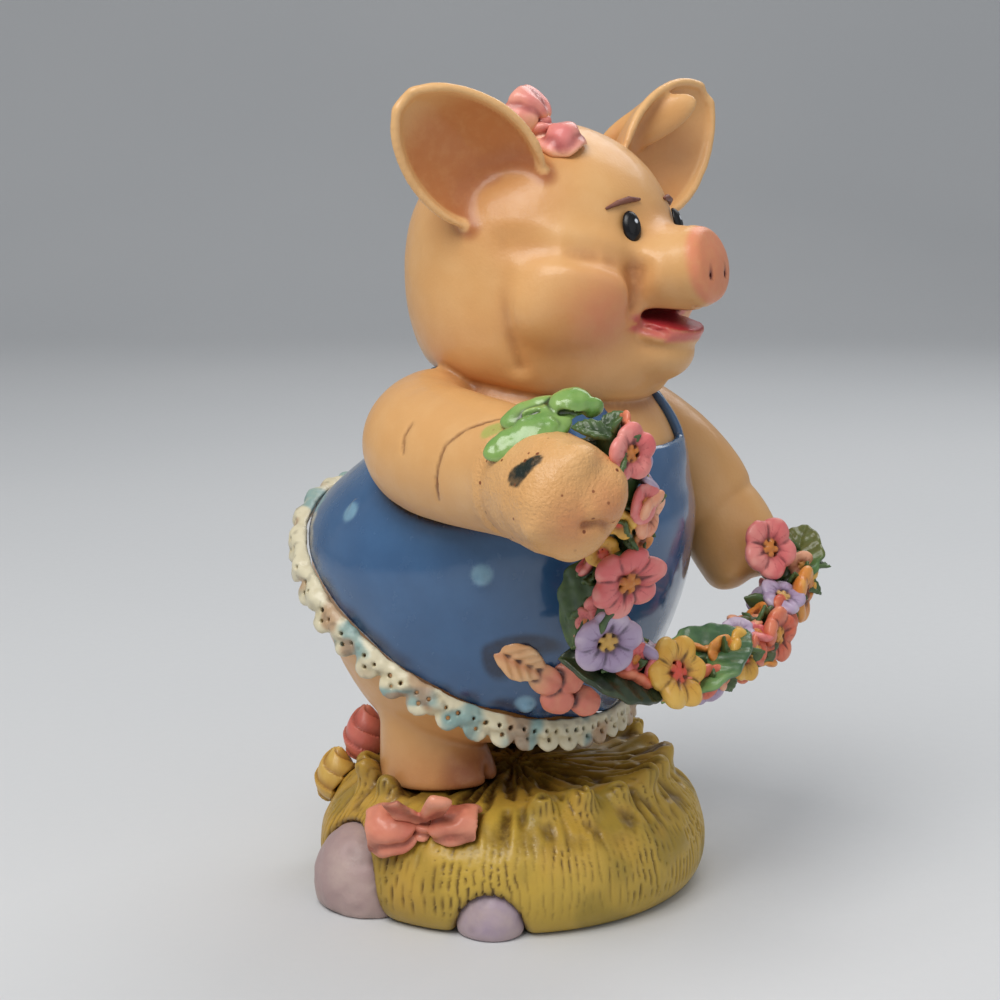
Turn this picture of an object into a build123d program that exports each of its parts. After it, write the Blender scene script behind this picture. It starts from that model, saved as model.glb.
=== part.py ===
from build123d import *
import math
import os

# Cast resin pig figurine in a dress, on a grass mound, holding a garland of flowers.
# Millimetres, +Z up, origin at the centre of the flat underside. The pig faces -Y, so its right
# side is at -X. Each casting is its own solid: the neck is a spigot, the legs, arms, trotters and
# ears have glue pegs in sockets, and whatever lies on another piece is cut to that piece's surface.

# Grass mound
mound_half_width = 33.5
mound_half_depth = 31.5
mound_height = 19.0
# Width and height of each level, as shares of the sizes above
mound_profile_shares = [
    (0.91, 0.0),
    (0.98, 0.16),
    (0.99, 0.4),
    (0.93, 0.68),
    (0.8, 0.88),
    (0.5, 0.98),
    (0.15, 1.0),
]

# Clumps of grass that lean out round the crown of the mound
tuft_count = 22
tuft_height = 6.4
tuft_radius = 3.4
tuft_sink = 2.4
tuft_ring_share = 0.69
tuft_lean_deg = 40.0
tuft_size_shares = [1.0, 0.82, 0.94, 0.76]
tuft_tip_radius = 1.4
tuft_clear_deg = [90.0, 108.0, 172.0, 188.0, 204.0]

# Stones set in the rim of the mound
# Half width, half depth, half height and the direction of each in degrees
stone_sizes = {
    "stone_large": (8.5, 7.0, 9.0, 152.0),
    "stone_small": (5.2, 4.2, 5.6, 204.0),
}
stone_set_share = 0.88
stone_lift_share = 0.42

# Trunk: seat, belly, chest, shoulders and neck
trunk_bottom = 25.0
trunk_height = 66.0
trunk_half_width = 30.0
trunk_half_depth = 30.0
# Each level's height, set back, half width and half depth, as shares of the sizes above
trunk_shares = [
    (0.0, 0.167, 0.54, 0.44),
    (0.06, 0.15, 0.7, 0.65),
    (0.14, 0.133, 0.817, 0.783),
    (0.25, 0.125, 0.917, 0.907),
    (0.36, 0.117, 0.983, 0.983),
    (0.46, 0.097, 1.0, 1.003),
    (0.55, 0.05, 0.96, 0.97),
    (0.65, -0.05, 0.85, 0.84),
    (0.75, -0.14, 0.74, 0.7),
    (0.82, -0.14, 0.65, 0.6),
    (0.89, -0.12, 0.53, 0.49),
    (0.95, -0.15, 0.42, 0.4),
    (1.0, -0.2, 0.36, 0.35),
]

# Dress: a shell on the trunk, with a hem that climbs to the back and a strap on each shoulder
dress_wall = 1.3
dress_front_top = 73.0
dress_back_top = 83.5
neckline_front_share = 0.45
neckline_back_share = 0.2
hem_front = 26.0
hem_middle = 38.0
hem_back = 61.0
strap_width = 7.0
strap_spacing = 25.0
strap_top = 87.0

# Frill below the hem: scallops that swell and draw in by turns
frill_count = 38
frill_width = 2.8
frill_drop = 4.0
frill_gap = 0.25
frill_waist_share = 0.62
# Outline of the frill's section: out and down, as shares of its width and drop
frill_section_shares = [(0.0, -0.25), (1.0, 0.2), (0.75, 1.0), (0.0, 0.9)]
# Times that a point on the hem is sought again, each nearer than the last
hem_passes = 4

# Legs
leg_spacing = 27.0
leg_set_back = 8.0
leg_half_width = 8.4
leg_half_depth = 9.4
leg_height = 24.0
leg_sink = 6.0
# Each level's height, set back, half width and half depth, as shares of the leg's sizes
leg_shares = [
    (0.0, -0.24, 0.93, 1.04),
    (0.25, -0.2, 1.0, 1.06),
    (0.55, -0.02, 0.9, 0.88),
    (1.0, 0.12, 1.12, 1.06),
]
cleft_width = 1.2
cleft_depth = 3.0

# Arms: places as shares of the trunk (out, forward, up), then the radius as a share
arm_radius = 10.0
arm_right_shares = [
    (-0.5, -0.12, 0.775, 0.9),
    (-0.78, -0.07, 0.75, 0.97),
    (-1.05, 0.42, 0.73, 0.97),
    (-1.25, 0.78, 0.72, 0.86),
    (-1.4, 1.02, 0.71, 0.84),
    (-1.5, 1.16, 0.705, 0.78),
]
arm_left_shares = [
    (0.4, 0.02, 0.775, 0.85),
    (0.72, 0.1, 0.745, 0.92),
    (0.86, 0.46, 0.66, 0.84),
    (0.93, 0.76, 0.51, 0.76),
    (0.95, 0.88, 0.42, 0.76),
    (0.96, 0.93, 0.37, 0.7),
]
wrist_index = 3
wrist_step_share = 0.95
toe_radius = 4.2
toe_spacing = 5.6
toe_length = 3.4
toe_turn_deg = -35.0
peg_radius = 3.0
peg_length = 5.0
peg_clearance = 0.1

# Head
head_bottom = 77.5
head_height = 44.5
head_half_width = 22.0
head_half_depth = 21.5
head_set_forward = 5.0
head_shares = [
    (0.0, -0.136, 0.565, 0.61),
    (0.07, -0.115, 0.74, 0.775),
    (0.19, -0.07, 0.915, 0.93),
    (0.32, -0.02, 0.99, 0.98),
    (0.45, 0.0, 1.0, 1.0),
    (0.58, 0.0, 0.98, 0.99),
    (0.7, 0.0, 0.915, 0.93),
    (0.81, -0.01, 0.785, 0.81),
    (0.9, -0.02, 0.6, 0.62),
    (0.96, -0.03, 0.39, 0.4),
    (0.995, -0.03, 0.14, 0.15),
]

# Cheeks, eyes and brows: places as shares of the head (out, forward, up), or (out, up) on its front
cheek_half_length = 11.0
cheek_half_height = 8.0
cheek_half_depth = 7.0
cheek_place_shares = (0.6, 0.56, 0.39)
cheek_turn_deg = 40.0
eye_half_width = 1.7
eye_half_height = 2.5
eye_half_depth = 1.2
eye_place_shares = (0.35, 0.65)
brow_half_length = 3.2
brow_half_height = 0.5
brow_half_depth = 0.8
brow_place_shares = (0.4, 0.722)
brow_tilt_deg = 14.0

# Jaw below the mouth: its place as shares of the head (out, forward, up)
jaw_half_width = 7.5
jaw_half_depth = 7.6
jaw_half_height = 5.2
jaw_place_shares = (0.0, 0.86, 0.225)

# Snout, nose pad and mouth
snout_root_radius = 6.6
snout_waist_radius = 5.1
snout_tip_radius = 5.3
snout_length = 12.5
snout_place_shares = (0.0, 0.68, 0.46)
snout_rise = 2.6
nose_pad_radius = 5.4
nose_pad_thickness = 1.8
nose_pad_edge = 0.7
nostril_radius = 0.85
nostril_spacing = 3.4
nostril_depth = 1.2
mouth_half_width = 6.4
mouth_half_height = 1.9
mouth_depth = 5.5
mouth_place_shares = (0.0, 0.975, 0.325)
tongue_clearance = 0.3
tongue_height = 1.3
lip_radius = 1.2
lip_half_width = 5.2
lip_drop = 1.2
lip_set_share = 0.99

# Ears: a cupped leaf each, with its root as shares of the head and two directions:
# the way the ear points and the way its hollow faces
ear_length = 24.5
ear_half_width = 8.8
ear_thickness = 2.4
ear_cup_depth = 4.4
# Distance along the ear, half width and cup, as shares of the ear's sizes
ear_shares = [
    (0.0, 0.55, 0.5),
    (0.22, 0.9, 1.0),
    (0.45, 1.0, 1.0),
    (0.68, 0.88, 0.75),
    (0.88, 0.58, 0.4),
    (1.0, 0.2, 0.12),
]
ear_right_root_shares = (-0.72, 0.27, 0.71)
ear_right_aim_shares = (-0.62, 0.46, 0.64)
ear_right_face_shares = (-0.78, -0.58, -0.12)
ear_left_root_shares = (0.64, 0.44, 0.74)
ear_left_aim_shares = (0.74, -0.14, 0.66)
ear_left_face_shares = (-0.2, -0.95, 0.1)
ear_peg_radius = 1.0
ear_peg_length = 1.5

# Ribbon bows: one in the hair and one lying on the grass
bow_loop_length = 8.4
bow_loop_radius = 4.0
bow_knot_radius = 2.3
bow_wall = 1.1
bow_tail_length = 9.0
bow_tail_width = 3.6
bow_tail_spread_deg = 24.0
ground_bow_share = 1.3
hair_bow_place_shares = (-0.4, 0.22, 0.965)
hair_bow_turn_deg = -60.0
hair_bow_tilt_deg = 44.0
hair_bow_lean_deg = -20.0
ground_bow_place_shares = (-0.86, -0.02, 0.8)
ground_bow_turn_deg = -72.0
ground_bow_tilt_deg = -6.0
ground_bow_lean_deg = -48.0

# Buds on the mound behind the legs: places as shares of the mound (out, back, up)
bud_radius = 3.8
bud_height = 9.0
# Height and radius of each level, as shares of the sizes above
bud_profile_shares = [(0.0, 0.45), (0.25, 0.95), (0.5, 0.95), (0.8, 0.6), (1.0, 0.15)]
bud_pink_place_shares = (-0.18, 0.8, 0.88)
bud_yellow_place_shares = (-0.26, 0.93, 0.5)

# Garland: a vine from trotter to trotter, with its corners as shares of the trunk (out, forward, up)
vine_radius = 1.7
vine_bend_share = 0.45
vine_shares = [
    (-1.24, 1.18, 0.835),
    (-1.14, 1.22, 0.74),
    (-0.97, 1.18, 0.65),
    (-0.91, 1.06, 0.55),
    (-0.86, 0.96, 0.435),
    (-0.81, 0.94, 0.34),
    (-0.49, 1.09, 0.22),
    (0.0, 1.25, 0.235),
    (0.41, 1.27, 0.25),
    (0.76, 1.25, 0.32),
    (1.08, 1.2, 0.38),
]
flower_radius = 5.4
flower_petals = 5
petal_radius_share = 0.44
petal_thickness = 1.7
bloom_dome_share = 1.6
heart_radius = 1.7
flower_lift = 1.0
leaf_half_length = 5.8
leaf_half_width = 3.2
leaf_thickness = 1.2
leaf_dome_radius = 9.0
leaf_lift = 1.3
# Each flower's share along the vine, turn round it in degrees and size share
flower_place_shares = {
    "flower_pink_top": (0.03, -20.0, 0.8),
    "flower_peach_high": (0.135, -30.0, 0.75),
    "flower_pink_large": (0.24, -12.0, 1.1),
    "flower_lilac_large": (0.35, 10.0, 1.0),
    "flower_coral_middle": (0.44, 60.0, 0.75),
    "flower_yellow_large": (0.5, -20.0, 1.1),
    "flower_lilac_low": (0.44, -75.0, 0.7),
    "flower_coral_high": (0.57, 25.0, 0.75),
    "flower_yellow_middle": (0.66, -12.0, 0.8),
    "flower_coral_low": (0.77, -10.0, 0.9),
    "flower_lilac_far": (0.85, -70.0, 0.75),
    "flower_yellow_far": (0.9, -6.0, 0.9),
}
leaf_place_shares = {
    "leaf_upper": (0.28, -75.0, 1.2),
    "leaf_belly": (0.3, 80.0, 0.8),
    "leaf_low": (0.4, -80.0, 1.3),
    "leaf_middle": (0.58, 75.0, 1.3),
    "leaf_far_low": (0.72, 120.0, 0.9),
    "leaf_far_end": (0.96, 62.0, 1.0),
}
# Pieces laid on the figure itself: place as shares of the trunk, the way each faces and points, and size
laid_leaf_shares = {
    "leaf_hand": ((-1.28, 0.95, 0.865), (-0.35, -0.3, 0.9), (0.35, -0.75, 0.3), 1.55),
    "petal_skirt": ((-0.78, 0.62, 0.22), (-0.8, -0.6, -0.1), (0.5, -0.7, -0.45), 1.5),
}
laid_flower_shares = {
    "flower_pink_far": ((0.7, 1.12, 0.43), (-0.5, -0.8, 0.3), (0.8, -0.5, 0.0), 1.0),
}

# Levels of a smooth round body, and the steepness at which its ends are closed
ball_levels = 7
ball_end_deg = 84.0

# Room left between a piece and the surface that it is cut to
glue_gap = 0.05
cut_overrun = 1.0


def trunk_place(shares):
    """A place from shares of the trunk: out to the pig's left, forward and up."""
    out, forward, up = shares[:3]
    return Vector(out * trunk_half_width, -forward * trunk_half_depth, trunk_bottom + up * trunk_height)


def head_place(shares, side=1):
    """A place from shares of the head: out to one side, forward and up."""
    out, forward, up = shares
    front = head_set_forward + forward * head_half_depth
    return Vector(side * out * head_half_width, -front, head_bottom + up * head_height)


def mound_place(shares):
    """A place from shares of the mound: out, back and up."""
    out, back, up = shares
    return Vector(out * mound_half_width, back * mound_half_depth, up * mound_height)


def on_mound_rim(turn_deg, share):
    """The place on the ground at a share of the way out to the mound's rim."""
    turn = math.radians(turn_deg)
    return Vector(share * mound_half_width * math.cos(turn), share * mound_half_depth * math.sin(turn), 0)


def ellipsoid(centre, half_width, half_depth, half_height, turn=(0, 0, 0)):
    """A smooth body of three half sizes, turned in degrees about X, Y and Z."""
    end = math.radians(ball_end_deg)
    levels = []
    for i in range(ball_levels):
        rise = end * (2 * i / (ball_levels - 1) - 1)
        width = math.cos(rise)
        height = half_height * math.sin(rise) / math.sin(end)
        levels.append((0, 0, height, half_width * width, half_depth * width))
    return Pos(*centre) * Rotation(*turn) * stacked_ellipses(levels)


def stacked_ellipses(levels):
    """A smooth body through level ellipses: (x, y, z, half width, half depth) each."""
    return loft([Pos(x, y, z) * Ellipse(wide, deep) for x, y, z, wide, deep in levels])


def planes_along(places):
    """A plane at each place, square to the way the route runs there."""
    planes = []
    for i, place in enumerate(places):
        before = places[max(i - 1, 0)]
        after = places[min(i + 1, len(places) - 1)]
        planes.append(Plane(origin=place, z_dir=(after - before).normalized()))
    return planes


def rod(start, end, radius):
    """A round rod from one place to another."""
    way = end - start
    plane = Plane(origin=start, z_dir=way.normalized())
    return plane * Pos(0, 0, way.length / 2) * Cylinder(radius, way.length)


def only_solid(shape):
    """The largest solid of a shape, so that a cut leaves no crumb behind."""
    return max(shape.solids(), key=lambda solid: solid.volume)


def boxes_meet(first, second):
    """Whether the boxes round two shapes meet."""
    a = first.bounding_box()
    b = second.bounding_box()
    apart = [
        a.min.X > b.max.X,
        b.min.X > a.max.X,
        a.min.Y > b.max.Y,
        b.min.Y > a.max.Y,
        a.min.Z > b.max.Z,
        b.min.Z > a.max.Z,
    ]
    return not any(apart)


def seat(shape, neighbours):
    """A shape cut to the surface of every neighbour that it meets."""
    for other in neighbours:
        if boxes_meet(shape, other):
            shape = only_solid(shape - other)
    return shape


def trunk_levels(extra):
    """The trunk's levels, with extra added to each half width and half depth."""
    levels = []
    for up, back, wide, deep in trunk_shares:
        y = back * trunk_half_depth
        z = trunk_bottom + up * trunk_height
        levels.append((0, y, z, wide * trunk_half_width + extra, deep * trunk_half_depth + extra))
    return levels


def make_mound(extra=0):
    """The domed oval base with a flat underside, grown by extra where it serves as a cutter."""
    levels = []
    for wide, up in mound_profile_shares:
        half_width = wide * mound_half_width + extra
        levels.append((0, 0, up * (mound_height + extra), half_width, wide * mound_half_depth + extra))
    return stacked_ellipses(levels)


def make_tufts(mound_room, legs):
    """Leaning clumps of grass, each cut to the mound and the legs, with a way left clear for the bow."""
    tufts = []
    for i in range(tuft_count):
        turn_deg = (i + 0.5) * 360 / tuft_count
        if min(abs(turn_deg - clear) for clear in tuft_clear_deg) < 180 / tuft_count:
            continue
        size = tuft_size_shares[i % len(tuft_size_shares)]
        length = tuft_height * size
        clump = Pos(0, 0, length / 2) * Cone(tuft_radius * size, tuft_tip_radius, length)
        foot = on_mound_rim(turn_deg, tuft_ring_share) + Vector(0, 0, mound_height - tuft_sink)
        clump = Pos(*foot) * Rotation(0, 0, turn_deg) * Rotation(0, tuft_lean_deg, 0) * clump
        tufts.append(seat(only_solid(clump - mound_room), legs))
    return Compound(children=tufts)


def make_stone(sizes, extra):
    """A pebble in the rim, flat where it meets the ground, grown by extra where it serves as a cutter."""
    half_width, half_depth, half_height, turn_deg = sizes
    centre = on_mound_rim(turn_deg, stone_set_share) + Vector(0, 0, half_height * stone_lift_share)
    grown = (half_depth + extra, half_width + extra, half_height + extra)
    pebble = ellipsoid(centre, *grown, (0, 0, turn_deg))
    ground = Pos(centre.X, centre.Y, -half_height) * Box(4 * half_width, 4 * half_width, 2 * half_height)
    return only_solid(pebble - ground)


def make_leg(side, trunk_room, mound_room):
    """A stout leg with a cleft trotter and a peg below: the leg and its peg's socket."""
    bottom = mound_height - leg_sink
    x = side * leg_spacing / 2
    levels = []
    for up, back, wide, deep in leg_shares:
        y = leg_set_back + back * leg_half_depth
        levels.append((x, y, bottom + up * leg_height, wide * leg_half_width, deep * leg_half_depth))
    leg = only_solid(stacked_ellipses(levels) - trunk_room - mound_room)
    foot_back = leg_shares[0][1]
    foot_deep = leg_shares[0][3]
    toe_front = leg_set_back + (foot_back - foot_deep) * leg_half_depth
    notch = Pos(x, toe_front, mound_height) * Rotation(0, 90, 0) * Cylinder(cleft_depth, cleft_width)
    heel = Vector(x, leg_set_back, mound_height)
    peg_end = heel - Vector(0, 0, leg_sink + peg_length)
    socket_end = peg_end - Vector(0, 0, peg_clearance)
    leg = only_solid(leg - notch + rod(heel, peg_end, peg_radius))
    return leg, rod(heel, socket_end, peg_radius + peg_clearance)


def hem_height(y):
    """The height of the hem's edge over a place y, front to back."""
    share = y / trunk_half_depth
    slope = (hem_back - hem_front) / 2
    bend = (hem_back + hem_front) / 2 - hem_middle
    return hem_middle + slope * share + bend * share * share


def make_hem_cut(reach):
    """All that lies below the hem: a parabola from front to back, drawn across the figure."""
    slope = (hem_back - hem_front) / 2
    bend = (hem_back + hem_front) / 2 - hem_middle
    start_slope = (slope - 2 * bend * reach / trunk_half_depth) / trunk_half_depth
    front = (-reach, hem_height(-reach))
    back = (reach, hem_height(reach))
    corner = (0, hem_height(-reach) + start_slope * reach)
    edge = Bezier(front, corner, back)
    under = Polyline(back, (reach, -reach), (-reach, -reach), front)
    return extrude(Plane.YZ * make_face(edge + under), reach, both=True)


def make_neck_cut(reach):
    """All that lies above the neckline, which steps up from the bib to the back."""
    top = trunk_bottom + trunk_height + reach
    front = -neckline_front_share * trunk_half_depth
    back = neckline_back_share * trunk_half_depth
    outline = Polyline(
        (-reach, dress_front_top),
        (front, dress_front_top),
        (back, dress_back_top),
        (reach, dress_back_top),
        (reach, top),
        (-reach, top),
        close=True,
    )
    return extrude(Plane.YZ * make_face(outline), reach, both=True)


def make_dress(outer, rooms):
    """The dress and its two straps, which meet it along the neckline."""
    reach = 2 * (trunk_half_depth + dress_wall)
    shell = outer
    for room in rooms:
        shell = shell - room
    above = make_neck_cut(reach)
    dress = only_solid(shell - make_hem_cut(reach) - above)
    straps = []
    for side in (-1, 1):
        x = side * strap_spacing / 2
        band = Pos(x, 0, strap_top / 2) * Box(strap_width, 2 * reach, strap_top)
        straps.append(Compound(children=list((shell & above & band).solids())))
    return dress, straps


def hem_point(outer, turn_deg):
    """The place on the dress's outer face that the hem passes in a direction, and the face's normal."""
    turn = math.radians(turn_deg)
    way = Vector(math.cos(turn), math.sin(turn), 0)
    y = trunk_half_depth * math.sin(turn)
    for _ in range(hem_passes):
        hits = outer.find_intersection_points(Axis((0, 0, hem_height(y)), way))
        place, normal = max(hits, key=lambda hit: hit[0].dot(way))
        y = place.Y
    if normal.dot(way) < 0:
        normal = -normal
    return place, normal


def make_frill(outer):
    """The gathered edging: sections round the hem, wide at each scallop and narrow between."""
    stops = 2 * frill_count
    hem = [hem_point(outer, 360 * i / stops) for i in range(stops)]
    outlines = []
    for i, (place, normal) in enumerate(hem):
        way = hem[(i + 1) % stops][0] - hem[i - 1][0]
        way = (way - normal * way.dot(normal)).normalized()
        down = normal.cross(way)
        if down.Z > 0:
            down = -down
        size = 1 if i % 2 else frill_waist_share
        points = []
        for out, drop in frill_section_shares:
            lift = frill_gap + out * frill_width * size
            points.append(place + normal * lift + down * drop * frill_drop * size)
        outlines.append(points)
    halves = [outlines[: frill_count + 1], outlines[frill_count:] + outlines[:1]]
    bands = [loft([make_face(Polyline(*ring, close=True)) for ring in half], ruled=True) for half in halves]
    return Compound(children=bands)


def make_limb(shares, trunk_room):
    """An arm and its trotter on one route: both pieces, the shoulder's socket and the arm as a cutter."""
    places = [trunk_place(place) for place in shares]
    planes = planes_along(places)
    radii = [place[3] * arm_radius for place in shares]
    sections = list(zip(planes, radii))[: wrist_index + 1]
    arm = loft([plane * Circle(radius) for plane, radius in sections])
    arm_room = loft([plane * Circle(radius + glue_gap) for plane, radius in sections])
    arm = only_solid(arm - trunk_room)
    shoulder = places[1]
    inward = (places[0] - shoulder).normalized()
    reach = (places[0] - shoulder).length + peg_length
    arm = only_solid(arm + rod(shoulder, shoulder + inward * reach, peg_radius))
    shoulder_socket = rod(shoulder, shoulder + inward * (reach + peg_clearance), peg_radius + peg_clearance)
    wrist = planes[wrist_index]
    radii[wrist_index] = radii[wrist_index] * wrist_step_share
    hand_sections = list(zip(planes, radii))[wrist_index:]
    trotter = loft([plane * Circle(radius) for plane, radius in hand_sections])
    tip = planes[-1]
    for side in (-1, 1):
        toe = ellipsoid((side * toe_spacing / 2, 0, 0), toe_radius, radii[-1], toe_length)
        trotter = trotter + tip * Rotation(0, 0, toe_turn_deg) * toe
    peg_end = wrist.origin - wrist.z_dir * peg_length
    socket_end = peg_end - wrist.z_dir * peg_clearance
    trotter = only_solid(trotter + rod(wrist.origin, peg_end, peg_radius))
    arm = only_solid(arm - rod(wrist.origin, socket_end, peg_radius + peg_clearance))
    return arm, trotter, shoulder_socket, arm_room


def make_skull(extra=0):
    """The smooth round form of the head, before the cheeks and the mouth, grown by extra as a cutter."""
    levels = []
    for up, back, wide, deep in head_shares:
        y = -head_set_forward + back * head_half_depth
        z = head_bottom + up * head_height
        levels.append((0, y, z, wide * head_half_width + extra, deep * head_half_depth + extra))
    return stacked_ellipses(levels)


def on_skull(skull, shares, side):
    """A plane on the front of the head, facing out of it, with its y-direction upward."""
    x, _, z = head_place((shares[0], 0, shares[1]), side)
    hits = skull.find_intersection_points(Axis((x, 0, z), (0, -1, 0)))
    place, normal = min(hits, key=lambda hit: hit[0].Y)
    if normal.Y > 0:
        normal = -normal
    across = Vector(0, 0, 1).cross(normal).normalized()
    return Plane(origin=place, x_dir=across, z_dir=normal)


def make_head(skull, trunk_room):
    """The skull and cheeks as one casting, with the mouth's pocket, hollowed below to sit over the neck."""
    head = skull
    for side in (-1, 1):
        place = head_place(cheek_place_shares, side)
        turn = (0, 0, side * cheek_turn_deg)
        head = head + ellipsoid(place, cheek_half_length, cheek_half_depth, cheek_half_height, turn)
    head = head + make_jaw()
    for cutter in (make_mouth(0, 2 * mouth_half_height), trunk_room):
        head = only_solid(head - cutter)
    return head


def make_mouth(margin, height):
    """A lens-shaped block let into the front of the head, less a margin all round, from the floor up."""
    half = mouth_half_width - 2 * margin
    half_height = mouth_half_height - margin
    upper = ThreePointArc((-half, 0), (0, half_height), (half, 0))
    lower = ThreePointArc((half, 0), (0, -half_height), (-half, 0))
    opening = Plane(origin=head_place(mouth_place_shares), x_dir=(1, 0, 0), z_dir=(0, 1, 0))
    depth = mouth_depth - margin
    block = extrude(opening * make_face(upper + lower), depth, both=True)
    if margin == 0:
        return block
    top = opening.origin.Z - half_height + height
    height_over = 2 * mouth_half_height
    lid = Pos(0, opening.origin.Y, top + mouth_half_height) * Box(4 * half, 4 * depth, height_over)
    front = Pos(0, opening.origin.Y - depth, top) * Box(4 * half, 2 * depth, 2 * height_over)
    return only_solid(block - lid - front)


def make_jaw(extra=0):
    """The lower jaw's form, grown by extra where it serves as a cutter."""
    sizes = (jaw_half_width + extra, jaw_half_depth + extra, jaw_half_height + extra)
    return ellipsoid(head_place(jaw_place_shares), *sizes)


def make_lip(rooms):
    """A round lower lip, bent along the front of the jaw just below the mouth."""
    height = head_place(mouth_place_shares).Z - lip_drop
    middle = head_place(jaw_place_shares).Y
    forward = lip_set_share * jaw_half_depth
    end_forward = forward * math.sqrt(1 - (lip_half_width / jaw_half_width) ** 2)
    ends = [Vector(side * lip_half_width, middle - end_forward, height) for side in (-1, 1)]
    path = ThreePointArc(ends[0], Vector(0, middle - forward, height), ends[1])
    lip = sweep(Plane(origin=path @ 0, z_dir=path % 0) * Circle(lip_radius), path=path)
    return seat(lip, rooms)


def make_snout(skull_room):
    """The tapered muzzle that carries the nose pad, and the place of its tip."""
    root = head_place(snout_place_shares)
    tip = root + Vector(0, -snout_length, snout_rise)
    planes = planes_along([root, (root + tip) / 2, tip])
    radii = [snout_root_radius, snout_waist_radius, snout_tip_radius]
    snout = loft([plane * Circle(radius) for plane, radius in zip(planes, radii)])
    return only_solid(snout - skull_room), tip


def make_nose_pad(tip):
    """A round pad with two blind nostrils, seated on the muzzle's tip."""
    pad = Pos(0, 0, nose_pad_thickness / 2) * Cylinder(nose_pad_radius, nose_pad_thickness)
    pad = fillet(pad.edges().filter_by(GeomType.CIRCLE).sort_by(Axis.Z)[-1], nose_pad_edge)
    for side in (-1, 1):
        depth = nostril_depth + cut_overrun
        hole = Pos(side * nostril_spacing / 2, 0, nose_pad_thickness - nostril_depth + depth / 2)
        pad = pad - hole * Cylinder(nostril_radius, depth)
    face = Plane(origin=tip, x_dir=(1, 0, 0), z_dir=(0, -snout_length, snout_rise))
    return face * pad


def make_ear(skull_room, root_shares, aim_shares, face_shares):
    """A cupped ear that tapers to its tip, with a peg at its root, and the peg's socket."""
    root = head_place(root_shares)
    aim = Vector(*aim_shares).normalized()
    face = Vector(*face_shares)
    face = (face - aim * face.dot(aim)).normalized()
    sections = []
    for along, wide, cup in ear_shares:
        half = wide * ear_half_width
        depth = cup * ear_cup_depth
        back = ThreePointArc((-half, 0), (0, -depth - ear_thickness), (half, 0))
        front = ThreePointArc((half, 0), (0, -depth), (-half, 0))
        plane = Plane(origin=root + aim * along * ear_length, x_dir=face.cross(aim), z_dir=aim)
        sections.append(plane * make_face(back + front))
    ear = only_solid(loft(sections) - skull_room)
    start = root + aim * ear_length / 3 - face * (ear_cup_depth + ear_thickness / 2)
    end = root - face * ear_cup_depth
    end = end - aim * ear_peg_length
    ear = only_solid(ear + rod(start, end, ear_peg_radius))
    socket_end = end - aim * peg_clearance
    return ear, rod(start, socket_end, ear_peg_radius + peg_clearance)


def make_bow_loop(side, size):
    """One loop of a ribbon bow: a drawn-in pouch, open at its outer end."""
    half = size * bow_loop_length / 2
    outer = ellipsoid((side * half, 0, 0), half, bow_loop_radius, bow_loop_radius)
    inner_half = half - bow_wall
    inner_radius = bow_loop_radius - bow_wall
    inner = ellipsoid((side * (half + 2 * bow_wall), 0, 0), inner_half, inner_radius, inner_radius)
    return only_solid(outer - inner)


def make_bow(place, turns, size, tail_sides, room):
    """A ribbon bow, cut to what it lies on: two loops, a knot between them and any tails."""
    turn_deg, tilt_deg, lean_deg = turns
    knot = Sphere(bow_knot_radius)
    loops = [only_solid(make_bow_loop(side, size) - knot) for side in (-1, 1)]
    pieces = [knot] + loops
    for side in tail_sides:
        tail = Pos(side * bow_tail_length / 4, -bow_tail_length / 2, 0)
        tail = tail * Rotation(0, 0, side * bow_tail_spread_deg)
        tail = tail * Box(bow_tail_width, bow_tail_length, bow_wall)
        pieces.append(seat(tail, [knot] + loops))
    move = Pos(*place) * Rotation(0, 0, turn_deg) * Rotation(lean_deg, 0, 0) * Rotation(0, tilt_deg, 0)
    return [only_solid(move * piece - room) for piece in pieces]


def make_bud(place, room):
    """A closed rosebud: round levels that swell and then draw in to the tip."""
    rings = [Pos(0, 0, up * bud_height) * Circle(wide * bud_radius) for up, wide in bud_profile_shares]
    return only_solid(Pos(*place) * loft(rings) - room)


def make_bloom(size):
    """A cupped five-petalled flower with a round heart, its back at the origin and facing +Z."""
    radius = flower_radius * size
    petal = radius * petal_radius_share
    thick = petal_thickness * size
    outline = Circle(petal)
    for i in range(flower_petals):
        turn = math.radians(360 * i / flower_petals)
        reach = radius - petal
        outline = outline + Pos(reach * math.cos(turn), reach * math.sin(turn)) * Circle(petal)
    dome = radius * bloom_dome_share
    cup = Pos(0, 0, dome) * (Sphere(dome) - Sphere(dome - thick))
    bloom = extrude(outline, dome) & cup
    heart = Pos(0, 0, thick + heart_radius * size / 3) * Sphere(heart_radius * size)
    return only_solid(bloom + heart)


def make_leaf(size):
    """A pointed leaf, domed along its length and facing +Z, with its tip along +X."""
    half = leaf_half_length * size
    wide = leaf_half_width * size
    upper = ThreePointArc((-half, 0), (0, wide), (half, 0))
    lower = ThreePointArc((half, 0), (0, -wide), (-half, 0))
    dome = leaf_dome_radius * size
    shell = Pos(0, 0, -dome) * (Sphere(dome) - Sphere(dome - leaf_thickness))
    prism = extrude(make_face(upper + lower), dome, both=True)
    top = Pos(0, 0, -dome / 2 + cut_overrun) * Box(2 * dome, 2 * dome, dome + 2 * cut_overrun)
    return only_solid(prism & shell & top)


def make_vine():
    """The stem of the garland: straight runs joined by arcs, and the path that it follows."""
    places = [trunk_place(place) for place in vine_shares]
    runs = [(b - a) for a, b in zip(places, places[1:])]
    radii = []
    for before, after in zip(runs, runs[1:]):
        half_turn = math.radians(before.get_angle(after)) / 2
        radii.append(vine_bend_share * min(before.length, after.length) / math.tan(half_turn))
    path = FilletPolyline(*places, radius=radii)
    section = Plane(origin=path @ 0, z_dir=path % 0) * Circle(vine_radius)
    return sweep(section, path=path), path


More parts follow.
